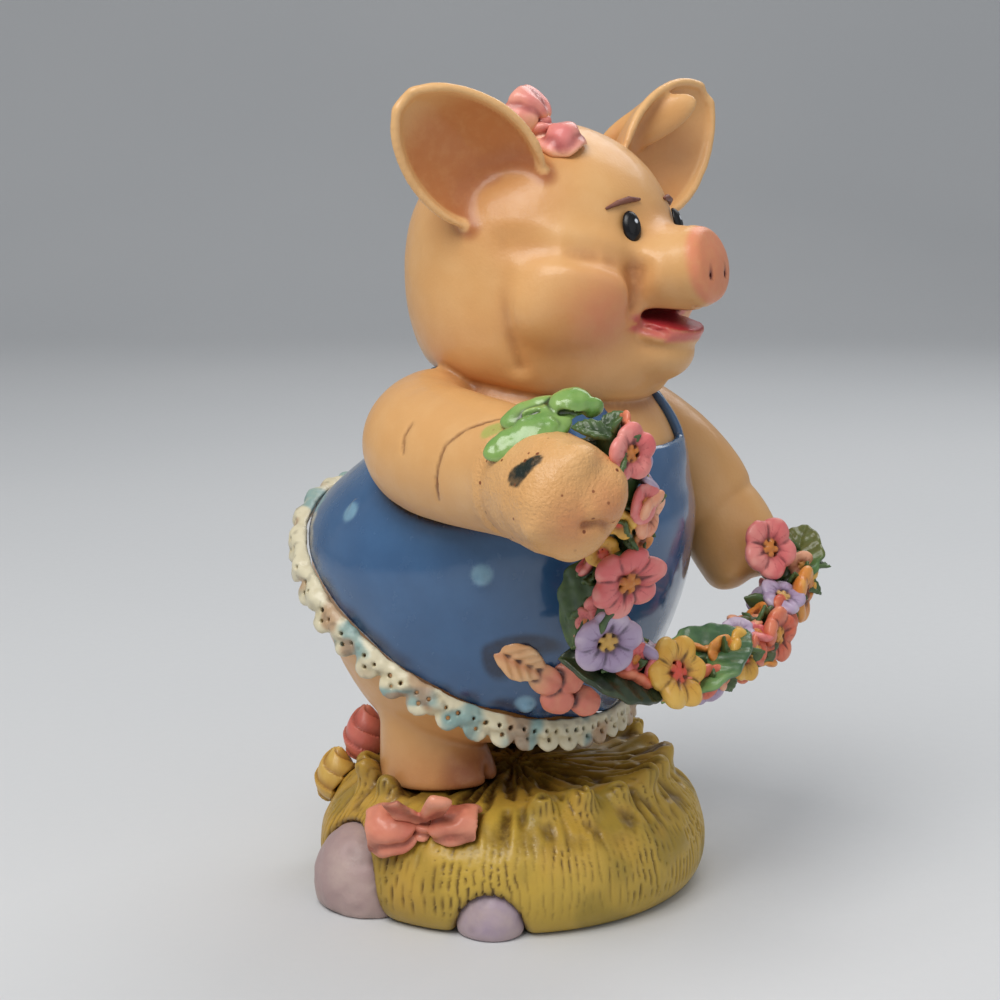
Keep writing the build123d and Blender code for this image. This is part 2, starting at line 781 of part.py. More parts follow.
def vine_plane(path, share, turn_deg, lift):
    """A plane on the vine that faces away from the trunk, turned round the vine in degrees."""
    place = path.position_at(share)
    way = path.tangent_at(share)
    out = Vector(place.X, place.Y, 0)
    out = (out - way * out.dot(way)).normalized()
    out = out.rotate(Axis((0, 0, 0), way), turn_deg)
    return Plane(origin=place + out * lift, x_dir=way, z_dir=out)


def make_garland(vine, path, neighbours):
    """Every flower and leaf of the garland, each cut to the vine and to those laid before it."""
    laid = {}
    for name, (share, turn_deg, size) in flower_place_shares.items():
        bloom = vine_plane(path, share, turn_deg, flower_lift) * make_bloom(size)
        laid[name] = seat(bloom, [vine] + neighbours + list(laid.values()))
    for name, (share, turn_deg, size) in leaf_place_shares.items():
        plane = vine_plane(path, share, turn_deg, leaf_lift)
        leaf = plane * Pos(leaf_half_length / 2, 0, 0) * make_leaf(size)
        laid[name] = seat(leaf, [vine] + neighbours + list(laid.values()))
    for name, (place, face, point, size) in {**laid_leaf_shares, **laid_flower_shares}.items():
        face = Vector(*face).normalized()
        point = Vector(*point)
        point = (point - face * point.dot(face)).normalized()
        piece = make_leaf(size) if name in laid_leaf_shares else make_bloom(size)
        piece = Plane(origin=trunk_place(place), x_dir=point, z_dir=face) * piece
        laid[name] = seat(piece, [vine] + neighbours + list(laid.values()))
    return laid


def make_base(trunk_room):
    """The mound with its stones, tufts and buds, the legs let into it and the bow laid on it."""
    parts = {}
    mound = make_mound()
    mound_room = make_mound(glue_gap)
    for name, sizes in stone_sizes.items():
        parts[name] = make_stone(sizes, 0)
        mound = only_solid(mound - make_stone(sizes, glue_gap))
    for name, side in (("leg_right", -1), ("leg_left", 1)):
        parts[name], socket = make_leg(side, trunk_room, mound_room)
        mound = only_solid(mound - socket)
    parts["base_mound"] = mound
    place = mound_place(ground_bow_place_shares)
    turns = (ground_bow_turn_deg, ground_bow_tilt_deg, ground_bow_lean_deg)
    bow = make_bow(place, turns, ground_bow_share, (-1, 1), mound_room)
    parts["ground_bow_knot"] = bow[0]
    parts["ground_bow_loops"] = Compound(children=bow[1:3])
    parts["ground_bow_tails"] = Compound(children=bow[3:5])
    parts["bud_pink"] = make_bud(mound_place(bud_pink_place_shares), mound_room)
    parts["bud_yellow"] = make_bud(mound_place(bud_yellow_place_shares), mound_room)
    parts["grass_tufts"] = make_tufts(mound_room, [parts["leg_right"], parts["leg_left"]])
    return parts


def make_face_parts(skull_room):
    """The eyes, brows, snout, nose pad, lip and tongue."""
    parts = {}
    for name, side in (("right", -1), ("left", 1)):
        eye = ellipsoid((0, 0, 0), eye_half_width, eye_half_height, eye_half_depth)
        eye = on_skull(skull_room, eye_place_shares, side) * eye
        parts["eye_" + name] = only_solid(eye - skull_room)
        turn = (0, 0, -side * brow_tilt_deg)
        brow = ellipsoid((0, 0, 0), brow_half_length, brow_half_height, brow_half_depth, turn)
        brow = on_skull(skull_room, brow_place_shares, side) * brow
        parts["brow_" + name] = only_solid(brow - skull_room)
    parts["snout"], tip = make_snout(skull_room)
    parts["nose_pad"] = make_nose_pad(tip)
    parts["lower_lip"] = make_lip([skull_room, make_jaw(glue_gap)])
    parts["tongue"] = make_mouth(tongue_clearance, tongue_height)
    return parts


def make_figurine():
    """Every piece by its name, each cut to the room of the one that carries it."""
    trunk = stacked_ellipses(trunk_levels(0))
    trunk_room = stacked_ellipses(trunk_levels(glue_gap))
    outer = stacked_ellipses(trunk_levels(dress_wall))
    skull_room = make_skull(glue_gap)
    parts = make_base(trunk_room)
    arm_rooms = []
    for name, shares in (("right", arm_right_shares), ("left", arm_left_shares)):
        arm, trotter, socket, arm_room = make_limb(shares, trunk_room)
        parts["arm_" + name] = arm
        parts["trotter_" + name] = trotter
        trunk = only_solid(trunk - socket)
        arm_rooms.append(arm_room)
    parts["trunk"] = trunk
    head = make_head(make_skull(), trunk_room)
    for arm_room in arm_rooms:
        head = only_solid(head - arm_room)
    parts["dress"], straps = make_dress(outer, [trunk_room, skull_room] + arm_rooms)
    parts["strap_right"], parts["strap_left"] = straps
    parts["lace_frill"] = make_frill(outer)
    parts.update(make_face_parts(skull_room))
    ears = {
        "ear_right": (ear_right_root_shares, ear_right_aim_shares, ear_right_face_shares),
        "ear_left": (ear_left_root_shares, ear_left_aim_shares, ear_left_face_shares),
    }
    for name, directions in ears.items():
        parts[name], socket = make_ear(skull_room, *directions)
        head = only_solid(head - socket)
    parts["head"] = head
    turns = (hair_bow_turn_deg, hair_bow_tilt_deg, hair_bow_lean_deg)
    bow = make_bow(head_place(hair_bow_place_shares), turns, 1, (), skull_room)
    for name, piece in zip(("hair_bow_knot", "hair_bow_loop_back", "hair_bow_loop_front"), bow):
        parts[name] = piece
    vine, path = make_vine()
    dress_room = stacked_ellipses(trunk_levels(dress_wall + glue_gap))
    figure = [dress_room, parts["trotter_right"], parts["trotter_left"]] + arm_rooms
    parts["garland_vine"] = seat(vine, figure)
    parts.update(make_garland(vine, path, figure))
    return parts


def main():
    """Write every piece to its own file."""
    os.makedirs("parts", exist_ok=True)
    for name, shape in make_figurine().items():
        shape.label = name
        export_step(shape, "parts/" + name + ".step")


main()
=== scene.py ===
import itertools
import math

import bpy
import numpy as np
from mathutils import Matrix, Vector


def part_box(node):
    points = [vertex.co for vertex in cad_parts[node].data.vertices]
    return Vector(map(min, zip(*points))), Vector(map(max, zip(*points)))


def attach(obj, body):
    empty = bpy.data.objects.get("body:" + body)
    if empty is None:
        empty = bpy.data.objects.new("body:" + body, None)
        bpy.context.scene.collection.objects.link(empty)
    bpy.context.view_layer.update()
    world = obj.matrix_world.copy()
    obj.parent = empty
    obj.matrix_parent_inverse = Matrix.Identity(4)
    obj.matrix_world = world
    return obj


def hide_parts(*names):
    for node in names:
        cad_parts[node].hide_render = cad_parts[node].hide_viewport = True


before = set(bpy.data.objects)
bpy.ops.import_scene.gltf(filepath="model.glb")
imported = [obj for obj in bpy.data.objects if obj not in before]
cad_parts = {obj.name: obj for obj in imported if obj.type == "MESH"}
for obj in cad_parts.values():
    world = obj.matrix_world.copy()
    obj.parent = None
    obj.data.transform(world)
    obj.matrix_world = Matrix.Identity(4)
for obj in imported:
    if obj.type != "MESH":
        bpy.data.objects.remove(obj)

import openvdb
from mathutils import Vector

# One millimetre in metres, which are the scene's unit
MM = 0.001

# Camera, as fitted to the photo: where it looks, how far away it is, and its direction in degrees
CAMERA_TARGET = np.array([-1.1, 2.0, 62.0]) * MM
CAMERA_DISTANCE = 330 * MM
CAMERA_AZIMUTH = -60.0
CAMERA_ELEVATION = 10.0
CLIP_START = 10 * MM
SENSOR_WIDTH = 36.0
LENS = 73.66

# Grid steps of the forms, by how fine they are, and the band of exact distances, in steps
LARGE_STEP = 0.42 * MM
STONE_STEP = 0.35 * MM
THIN_STEP = 0.3 * MM
FILLER_STEP = 0.28 * MM
SMALL_STEP = 0.22 * MM
FINE_STEP = 0.12 * MM
BAND = 8

# How strongly the bends of a surface show in the masks of its hollows and edges
BEND_GAIN = 2.2

# Height of the grass mound's crown, which the feet and the colours of the grass follow
MOUND_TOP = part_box("base_mound")[1].z

SEED = 7
NOISE_TABLE = np.random.default_rng(SEED).uniform(-1, 1, 8192)


def way_from(azimuth, elevation):
    """The way from the figurine toward a camera or lamp, from two angles in degrees."""
    turn = math.radians(azimuth)
    rise = math.radians(elevation)
    return Vector((math.sin(turn) * math.cos(rise), -math.cos(turn) * math.cos(rise), math.sin(rise)))


def make_camera():
    """The photo's camera."""
    back = way_from(CAMERA_AZIMUTH, CAMERA_ELEVATION)
    data = bpy.data.cameras.new("camera")
    data.sensor_width = SENSOR_WIDTH
    data.lens = LENS
    data.clip_start = CLIP_START
    camera = bpy.data.objects.new("camera", data)
    bpy.context.scene.collection.objects.link(camera)
    camera.location = Vector(CAMERA_TARGET) + back * CAMERA_DISTANCE
    camera.rotation_euler = back.to_track_quat("Z", "Y").to_euler()
    bpy.context.scene.camera = camera


def noise(points, size, salt=0):
    """Smooth random heights from -1 to 1 about one size apart, which another salt changes."""
    cells = points / size
    low = np.floor(cells).astype(np.int64)
    share = cells - low
    share = share * share * (3 - 2 * share)
    total = np.zeros(len(points))
    for corner in itertools.product((0, 1), repeat=3):
        keys = (low + corner) @ np.array([73856093, 19349663, 83492791]) + salt * 7919
        weight = np.prod(np.where(corner, share, 1 - share), axis=1)
        total += weight * NOISE_TABLE[keys % len(NOISE_TABLE)]
    return total


def waves(points, rows):
    """Uneven heights at points: each row has a height and a size in millimetres, and its own salt."""
    return sum(height * MM * noise(points, size * MM, salt) for height, size, salt in rows)


def patches_of(points, size, salt, low, high):
    """A mask of random patches, with a size in millimetres, and where noise starts and ends them."""
    return smooth_step(low, high, noise(points, size * MM, salt))


def smooth_step(low, high, values):
    """0 below low, 1 above high, with a smooth rise between."""
    share = np.clip((values - low) / (high - low), 0, 1)
    return share * share * (3 - 2 * share)


def soft_least(a, b, soft):
    """The lesser of two distances, rounded where they are nearly the same."""
    mix = np.clip(0.5 + 0.5 * (b - a) / soft, 0, 1)
    return b + (a - b) * mix - soft * mix * (1 - mix)


def unit(vector):
    """A vector of length 1 that points the same way."""
    vector = np.asarray(vector, float)
    return vector / np.linalg.norm(vector)


def ball(points, centre, radius):
    """Distance to a ball."""
    return np.linalg.norm(points - centre, axis=-1) - radius


def capsule(points, start, end, radius, end_radius=None):
    """Distance to a rod with round ends, which may taper."""
    way = end - start
    share = np.clip((points - start) @ way / (way @ way), 0, 1)
    radii = radius if end_radius is None else radius + (end_radius - radius) * share
    return np.linalg.norm(points - start - share[..., None] * way, axis=-1) - radii


def ring(points, centre, axis, radius, thickness):
    """Distance to a ring of round section about an axis."""
    local = points - centre
    along = local @ axis
    out = np.linalg.norm(local - along[..., None] * axis, axis=-1)
    return np.hypot(out - radius, along) - thickness


def pebble(points, centre, axes, halves):
    """Distance to a ball squeezed to three half sizes along three axes, near enough close to it."""
    local = (points - centre) @ np.array(axes).T
    lengths = np.linalg.norm(local / halves, axis=-1)
    slopes = np.linalg.norm(local / np.square(halves), axis=-1)
    return lengths * (lengths - 1) / np.maximum(slopes, 1e-9)


def node_shape(name):
    """Corners and triangles of a CAD node."""
    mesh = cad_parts[name].data
    points = np.empty(len(mesh.vertices) * 3, np.float32)
    mesh.vertices.foreach_get("co", points)
    mesh.calc_loop_triangles()
    triangles = np.empty(len(mesh.loop_triangles) * 3, np.int32)
    mesh.loop_triangles.foreach_get("vertices", triangles)
    return points.reshape(-1, 3), triangles.reshape(-1, 3)


def welded(points, triangles):
    """The same shape with one point wherever several lie in one place."""
    keys = np.round(points / (0.002 * MM)).astype(np.int64)
    _, first, back = np.unique(keys, axis=0, return_index=True, return_inverse=True)
    triangles = back.reshape(-1)[triangles]
    whole = (triangles[:, 0] != triangles[:, 1]) & (triangles[:, 1] != triangles[:, 2])
    whole &= triangles[:, 0] != triangles[:, 2]
    return points[first], triangles[whole]


class Field:
    """Signed distances on a grid of places, negative inside the form."""

    def __init__(self, low, high, step):
        margin = (BAND // 2) * step
        self.step = step
        self.first = np.floor((np.array(low) - margin) / step).astype(int)
        last = np.ceil((np.array(high) + margin) / step).astype(int)
        self.far = BAND * step
        self.values = np.full(last - self.first + 1, self.far, np.float32)

    def node(self, names):
        """Distances to CAD nodes, on this grid."""
        total = np.full(self.values.shape, self.far, np.float32)
        scale = openvdb.createLinearTransform(voxelSize=self.step)
        for name in names:
            points, triangles = welded(*node_shape(name))
            grid = openvdb.FloatGrid.createLevelSetFromPolygons(
                points.astype(np.float32), triangles=triangles.astype(np.uint32), transform=scale,
                halfWidth=float(BAND),
            )
            values = np.full(self.values.shape, self.far, np.float32)
            grid.copyToArray(values, ijk=tuple(int(i) for i in self.first))
            total = np.minimum(total, values)
        return total

    def join(self, values, soft):
        """Take in another form on the same grid, with a fillet."""
        self.values = soft_least(self.values, values, soft).astype(np.float32)

    def window(self, centre, reach):
        """The part of the grid near a place, and the places in it."""
        low = np.floor((centre - reach) / self.step).astype(int) - self.first
        high = np.ceil((centre + reach) / self.step).astype(int) - self.first + 1
        low = np.clip(low, 0, self.values.shape)
        high = np.clip(high, 0, self.values.shape)
        part = tuple(slice(a, b) for a, b in zip(low, high))
        axes = [(np.arange(a, b) + f) * self.step for a, b, f in zip(low, high, self.first)]
        return part, np.stack(np.meshgrid(*axes, indexing="ij"), -1)

    def add(self, shape, centre, reach, soft):
        """Fuse a formula's form on, near a place, with a fillet."""
        part, points = self.window(centre, reach)
        self.values[part] = soft_least(self.values[part], shape(points), soft)

    def cut(self, shape, centre, reach, soft):
        """Take a formula's form away, near a place, with a rounded edge."""
        part, points = self.window(centre, reach)
        self.values[part] = -soft_least(-self.values[part], shape(points), soft)

    def blurred(self, width, values=None):
        """The distances smoothed over a width, which rounds edges and fills notches."""
        values = self.values if values is None else values
        reach = max(1, int(math.ceil(2 * width / self.step)))
        weights = np.exp(-0.5 * np.square(np.arange(-reach, reach + 1) * self.step / width))
        weights = (weights / weights.sum()).astype(np.float32)
        for axis in range(3):
            padding = [(reach, reach) if i == axis else (0, 0) for i in range(3)]
            padded = np.pad(values, padding, mode="edge")
            size = values.shape[axis]
            values = sum(w * np.take(padded, range(i, i + size), axis=axis) for i, w in enumerate(weights))
        return values

    def sample(self, points, values=None):
        """The distances at any places, straight between the grid's own."""
        values = self.values if values is None else values
        cells = points / self.step - self.first
        cells = np.clip(cells, 0, np.array(values.shape) - 1.001)
        low = cells.astype(int)
        share = cells - low
        total = np.zeros(len(points))
        for corner in itertools.product((0, 1), repeat=3):
            weight = np.prod(np.where(corner, share, 1 - share), axis=1)
            at = low + corner
            total += weight * values[at[:, 0], at[:, 1], at[:, 2]]
        return total

    def from_nodes(self, points, names):
        """How far places are from CAD nodes."""
        return self.sample(points, self.node(names))

    def slope(self, points):
        """The way out of the form at places near its surface."""
        rows = []
        for axis in range(3):
            shift = np.zeros(3)
            shift[axis] = self.step
            rows.append(self.sample(points + shift) - self.sample(points - shift))
        way = np.stack(rows, 1)
        return way / np.maximum(np.linalg.norm(way, axis=1, keepdims=True), 1e-9)

    def surface(self):
        """Points and four-sided faces of the form's surface, and the way out of it at each point."""
        grid = openvdb.FloatGrid(float(self.far))
        band = np.clip(self.values, -self.far, self.far)
        grid.copyFromArray(band.astype(np.float32), ijk=tuple(int(i) for i in self.first))
        grid.transform = openvdb.createLinearTransform(voxelSize=self.step)
        points, faces = grid.convertToQuads(0.0)
        points = points.astype(float)
        return points, faces, self.slope(points)


def make_piece(name, points, faces, shades, material, slot, nodes):
    """A smooth mesh that rides on the figurine, with its paint masks and material."""
    mesh = bpy.data.meshes.new(name)
    mesh.vertices.add(len(points))
    mesh.vertices.foreach_set("co", np.asarray(points, np.float32).ravel())
    corners = np.asarray(faces, np.int32)
    mesh.loops.add(corners.size)
    mesh.loops.foreach_set("vertex_index", corners.ravel())
    mesh.polygons.add(len(corners))
    mesh.polygons.foreach_set("loop_start", np.arange(len(corners), dtype=np.int32) * corners.shape[1])
    mesh.polygons.foreach_set("use_smooth", np.ones(len(corners), bool))
    mesh.update(calc_edges=True)
    mesh.validate()
    for key, values in shades.items():
        layer = mesh.attributes.new(key, "FLOAT", "POINT")
        layer.data.foreach_set("value", np.asarray(values, np.float32))
    mesh.materials.append(material)
    piece = bpy.data.objects.new(name, mesh)
    bpy.context.scene.collection.objects.link(piece)
    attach(piece, "root")
    if nodes:
        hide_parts(*nodes)
    return piece


def hollows(field, points, width):
    """How deep in a crease each point is, from 0 in the open to 1, and the same for raised edges."""
    bend = BEND_GAIN * field.sample(points, field.blurred(width)) / width
    return np.clip(-bend, 0, 1), np.clip(bend, 0, 1)


# Materials: layers of paint named by the masks that the meshes carry

COAT_ROUGHNESS = 0.12
SHINE = 0.4
# Sizes of what varies in the paint: light patches, blotches in a coat, the dark wash and painted shade in
# the hollows, wear, and casting pits
PATCH = 7 * MM
BLOTCH = 1.6 * MM
SHADE_MOTTLE = 1.2 * MM
WEAR = 2.5 * MM
PIT_CELL = 1.7 * MM
PIT_SHARE = 0.42


class Paint:
    """A node material built up layer by layer."""

    def __init__(self, name):
        self.material = bpy.data.materials.new(name)
        self.material.use_nodes = True
        self.tree = self.material.node_tree
        self.shader = self.tree.nodes["Principled BSDF"]
        self.place = self.tree.nodes.new("ShaderNodeTexCoord").outputs["Object"]

    def link(self, source, target):
        """A link from an output to an input."""
        self.tree.links.new(source, target)

    def speckle(self, size, detail=4.0, roughness=0.55):
        """Random heights from 0 to 1 with features about one size apart."""
        node = self.tree.nodes.new("ShaderNodeTexNoise")
        node.inputs["Scale"].default_value = 1 / size
        node.inputs["Detail"].default_value = detail
        node.inputs["Roughness"].default_value = roughness
        self.link(self.place, node.inputs["Vector"])
        return node.outputs["Fac"]

    def dots(self, size, share):
        """Small dots, 1 inside each, in a share of the cells of one size."""
        node = self.tree.nodes.new("ShaderNodeTexVoronoi")
        node.inputs["Scale"].default_value = 1 / size
        self.link(self.place, node.inputs["Vector"])
        split = self.tree.nodes.new("ShaderNodeSeparateColor")
        self.link(node.outputs["Color"], split.inputs[0])
        chosen = self.ramp(split.outputs[0], 1 - share, 1.01 - share)
        return self.times(self.ramp(node.outputs["Distance"], 0.12, 0.2, 1.0, 0.0), chosen)

    def mask(self, name):
        """A paint mask carried by the mesh."""
        node = self.tree.nodes.new("ShaderNodeAttribute")
        node.attribute_name = name
        return node.outputs["Fac"]

    def ramp(self, value, low, high, out_low=0.0, out_high=1.0):
        """A value moved from one range to another and held within it."""
        node = self.tree.nodes.new("ShaderNodeMapRange")
        node.interpolation_type = "SMOOTHSTEP"
        ends = {"From Min": low, "From Max": high, "To Min": out_low, "To Max": out_high}
        for key, number in ends.items():
            node.inputs[key].default_value = number
        self.link(value, node.inputs["Value"])
        return node.outputs["Result"]

    def times(self, a, b):
        """The product of two values, or of a value and a number."""
        node = self.tree.nodes.new("ShaderNodeMath")
        node.operation = "MULTIPLY"
        self.link(a, node.inputs[0])
        if isinstance(b, float):
            node.inputs[1].default_value = b
        else:
            self.link(b, node.inputs[1])
        return node.outputs[0]

    def colour(self, rgb):
        """A colour read off a screen."""
        node = self.tree.nodes.new("ShaderNodeRGB")
        node.outputs[0].default_value = (*linear(rgb), 1)
        return node.outputs[0]

    def over(self, below, above, amount):
        """One colour laid over another by an amount."""
        node = self.tree.nodes.new("ShaderNodeMix")
        node.data_type = "RGBA"
        self.link(amount, node.inputs[0])
        self.link(below, node.inputs[6])
        self.link(above, node.inputs[7])
        return node.outputs[2]

    def finish(self, colour, roughness, grain, bump, coat=0.0, sandy=None):
        """Connect the colour, a varied roughness and a fine cast texture, stronger under a mask."""
        self.link(colour, self.shader.inputs["Base Color"])
        wear = self.ramp(self.speckle(WEAR), 0.3, 0.7, roughness - 0.06, roughness + 0.08)
        self.link(wear, self.shader.inputs["Roughness"])
        node = self.tree.nodes.new("ShaderNodeBump")
        node.inputs["Strength"].default_value = bump
        if sandy is not None:
            self.link(self.ramp(self.mask(sandy), 0.0, 1.0, bump, 1.0), node.inputs["Strength"])
        node.inputs["Distance"].default_value = grain * (0.3 if sandy is None else 0.5)
        self.link(self.speckle(grain, 3.0), node.inputs["Height"])
        self.link(node.outputs["Normal"], self.shader.inputs["Normal"])
        self.shader.inputs["Coat Weight"].default_value = coat
        self.shader.inputs["Coat Roughness"].default_value = COAT_ROUGHNESS
        self.shader.inputs["Specular IOR Level"].default_value = SHINE
        return self.material


def linear(rgb):
    """A colour read off a screen, as the renderer counts light."""
    return [c / 12.92 if c <= 0.04045 else ((c + 0.055) / 1.055) ** 2.4 for c in rgb]


def painted(
    name, base, light, dark, roughness=0.5, grain=0.5 * MM, bump=0.25, coat=0.0, patches=0.6, pits=None,
    layers=(),
):
    """Paint with light patches, a painted highlight on raised edges, a dark wash and painted shade in the
    hollows, further coats by mask, and pits by another.
    """
    paint = Paint(name)
    patch = paint.times(paint.ramp(paint.speckle(PATCH), 0.35, 0.75), patches)
    colour = paint.over(paint.colour(base), paint.colour(light), patch)
    # Painted highlight: the light colour laid on raised edges
    colour = paint.over(colour, paint.colour(light), paint.times(paint.mask("edge"), patches))
    for mask, rgb, strength in layers:
        blotch = paint.ramp(paint.speckle(BLOTCH), 0.25, 0.6, 0.8, 1.0)
        amount = paint.times(paint.times(paint.mask(mask), blotch), float(strength))
        colour = paint.over(colour, paint.colour(rgb), amount)
    # Dark wash and painted shade: the dark colour laid in the hollows, mottled
    wash_and_shade = paint.times(paint.mask("hollow"), paint.ramp(paint.speckle(SHADE_MOTTLE), 0.2, 0.6, 0.55, 1.0))
    colour = paint.over(colour, paint.colour(dark), wash_and_shade)
    if pits is not None:
        holes = paint.times(paint.dots(PIT_CELL, PIT_SHARE), paint.mask(pits))
        colour = paint.over(colour, paint.colour(dark), holes)
    return paint.finish(colour, roughness, grain, bump, coat, pits)


def centre_of(name):
    """The middle of a CAD node's box."""
    low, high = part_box(name)
    return np.array((low + high) / 2)


def size_of(name):
    """The size of a CAD node's box."""
    low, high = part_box(name)
    return np.array(high - low)


def box_of(names):
    """The corners of the box round several CAD nodes."""
    lows, highs = zip(*(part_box(name) for name in names))
    return np.min(lows, axis=0), np.max(highs, axis=0)


def near(distance, width):
    """A mask that is 1 inside a form and falls to 0 a width outside it."""
    return 1 - smooth_step(0, width, distance)


def nearest(points, places):
    """How far each point is from the nearest of some places."""
    return np.min([ball(points, place, 0) for place in places], axis=0)


def triangle_ways(points, triangles):
    """The corners of triangles, and the way out of each, as long as twice its area."""
    corners = points[triangles]
    return corners, np.cross(corners[:, 1] - corners[:, 0], corners[:, 2] - corners[:, 0])


def main_ways(points):
    """A shape's longest way, the next longest across it, and its thinnest."""
    return np.linalg.svd(points - points.mean(0), full_matrices=False)[2]


# The pig's skin: every flesh-coloured casting fused with fillets, then the face worked in

SKIN_NODES = [
    "trunk", "leg_right", "leg_left", "arm_right", "trotter_right", "arm_left", "trotter_left", "snout",
    "nose_pad", "lower_lip", "head",
]
EARS = ["ear_right", "ear_left"]
SIDES = (("right", -1), ("left", 1))
ROUNDING = {
    "trunk": 1.2 * MM, "head": 1.3 * MM, "arm_right": 0.6 * MM, "arm_left": 0.6 * MM, "snout": 0.5 * MM,
    "trotter_right": 1.0 * MM, "trotter_left": 0.8 * MM, "leg_right": 0.6 * MM, "leg_left": 0.6 * MM,
    "lower_lip": 0.5 * MM,
}
BODY_FILLET = 1.4 * MM
PAD_FILLET = 0.6 * MM
EAR_FILLET = 2.2 * MM
EAR_ROUNDING = 0.45 * MM
EAR_SWELL = 0.3 * MM
# How strongly the near and the far ear are painted inside
EAR_STRENGTHS = (1.0, 0.4)
# Radius of the ears' rounded rim, and how far from the head it starts
EAR_RIM = 0.5 * MM
RIM_START = 1.2 * MM
# Fold of the far ear: the way out of its straight upper edge, the way along it, and the middle
# of the flap that is turned over the hollow, from the middle of the ear
EDGE_OUT = np.array([-0.198, 0.414, 0.888])
EDGE_ALONG = np.array([0.384, -0.802, 0.459])
FLAP_MIDDLE = np.array([-1.3, 1.4, 4.0]) * MM
FLAP_HALVES = np.array([8.8, 3.2, 1.7]) * MM

# The muzzle's root, from the middle of the snout, and the round forms of the face and the near hand
MUZZLE_OFFSET = np.array([0, 2.2, -0.2]) * MM
MUZZLE_HALVES = np.array([8.8, 7.2, 6.4]) * MM
SOCKET_RADIUS = 3.0 * MM
SOCKET_OUT = 2.5 * MM
CHEEK_RADII = (6.4 * MM, 5.6 * MM)
CHEEK_RISE = 0.9 * MM
# Nostrils: their radius, how far they lie out of the pad's middle and aside, and the heights of their ends
NOSTRIL_RADIUS = 0.65 * MM
NOSTRIL_OUT = 1.0 * MM
NOSTRIL_ASIDE = 2.5 * MM
NOSTRIL_HEIGHTS = (-1.7 * MM, -0.2 * MM)
# The groove behind the nose pad: how far back it lies, its radius and its half width
PAD_GROOVE = (1.9 * MM, 5.6 * MM, 0.25 * MM)
TOE_RADIUS = 3.7 * MM
TOE_RISE = 0.8 * MM

# The mouth drops toward its front. Each of its forms has an offset from the middle of the tongue's
# node and three half sizes, in millimetres.
MOUTH_AXES = ((1.0, 0, 0), (0, 0.974, 0.225), (0, -0.225, 0.974))
OPENING = ((0, -4.6, 2.1), (7.3, 6.4, 1.5))
MOUTH_BED = ((0, -2.2, -0.5), (7.4, 5.8, 2.0))
TONGUE = ((0, -3.4, 0.95), (6.4, 5.0, 0.75))

# Marks on the skin, in millimetres from the middle of the head, arm or hand that carries them.
# Those on the head are for the pig's left side and are mirrored for its right.
CHEEK_TOP = [(21.0, -3.2, 3.8), (18.6, -11.0, 3.4), (14.4, -15.8, 2.4), (10.6, -18.2, 0.6)]
CHEEK_END = [(9.8, -18.4, -0.5), (9.4, -18.5, -5.0)]
CHEEK_BACK = [(21.0, -2.4, 4.5), (21.6, -2.8, -2.0), (20.8, -3.2, -8.0), (18.6, -4.2, -13.5)]
CHEEK_SWELL = [(18.2, -13.2, -1.2), (13.6, -16.9, -2.1)]
BLUSH = (15.2, -16.8, -6.4)
WRIST_SEAM = [
    (-11.3, -11.9, 6.9), (-12.5, -7.1, 5.2), (-13.2, -4.1, 2.8), (-13.7, -3.1, -0.6), (-12.5, -2.5, -5.3)
]
ARM_CREASE = [(-9.7, 3.7, 4.8), (-10.4, 4.5, 3.1), (-11.2, 4.2, 0.9)]
HAND_LOBES = [(-6.6, -6.6, -2.2), (-2.8, -10.2, -0.6)]
HAND_CLEFT = [(-5.6, -8.2, -2.9), (-4.0, -9.7, -2.8), (-1.2, -10.3, -3.9)]
INK_SPOT = [(-8.7, 0.8, 3.7), (-7.4, -2.0, 5.5)]
BROW = [(10.8, -14.5, 8.9), (8.9, -15.5, 9.7), (6.6, -16.1, 10.1), (4.4, -16.7, 10.1)]
GREEN_SMEAR = [(-13.8, -11.7, 5.4), (-13.7, -12.6, 6.0)]
# Radii of a brow at its four places, in millimetres
BROW_RADII = (0.22, 0.42, 0.5, 0.25)
# Grooves: places, radius, softness and, on the head, how far they are lifted to make them shallow
HEAD_GROOVES = ((CHEEK_TOP, 1.2, 3.2, 1.3), (CHEEK_END, 1.2, 2.4, 1.1), (CHEEK_BACK, 0.7, 2.6, 1.5))
LIMB_GROOVES = (
    ("trotter_right", HAND_CLEFT, 0.4, 1.6),
    ("arm_right", WRIST_SEAM, 0.2, 0.5),
    ("arm_right", ARM_CREASE, 0.2, 0.6),
)
# Uneven heights of the skin everywhere, and further ones of the near hand: height, size and salt
SKIN_WAVES = ((0.07, 6.0, 1), (0.03, 2.2, 2))
HAND_WAVES = ((0.14, 2.6, 3), (0.05, 1.0, 4))

# Coats of paint on the skin, from the first to the last: mask, colour and strength. The shade, temple,
# feet, ear root and toe tip coats are painted shade, and the ear rim coat is a painted highlight
SKIN_COATS = (
    ("shade", (0.77, 0.51, 0.29), 0.35),
    ("temple_shade", (0.76, 0.50, 0.28), 0.5),
    ("feet_shade", (0.72, 0.45, 0.28), 0.45),
    ("blush", (0.86, 0.47, 0.35), 0.62),
    ("inner_ear", (0.75, 0.46, 0.25), 0.9),
    ("ear_root_shade", (0.52, 0.22, 0.12), 0.85),
    ("ear_rim_highlight", (0.92, 0.73, 0.50), 0.5),
    ("toes", (0.78, 0.47, 0.31), 0.7),
    ("toe_shade", (0.55, 0.27, 0.15), 0.7),
    ("nose", (0.86, 0.49, 0.37), 0.75),
    ("lip", (0.80, 0.40, 0.38), 0.9),
    ("nostril", (0.36, 0.10, 0.08), 1.0),
    ("mouth", (0.50, 0.07, 0.09), 0.97),
    ("tongue", (0.74, 0.20, 0.24), 0.8),
    ("seams", (0.40, 0.22, 0.10), 0.8),
    ("smear", (0.62, 0.70, 0.34), 0.75),
    ("ink", (0.04, 0.10, 0.07), 1.0),
)


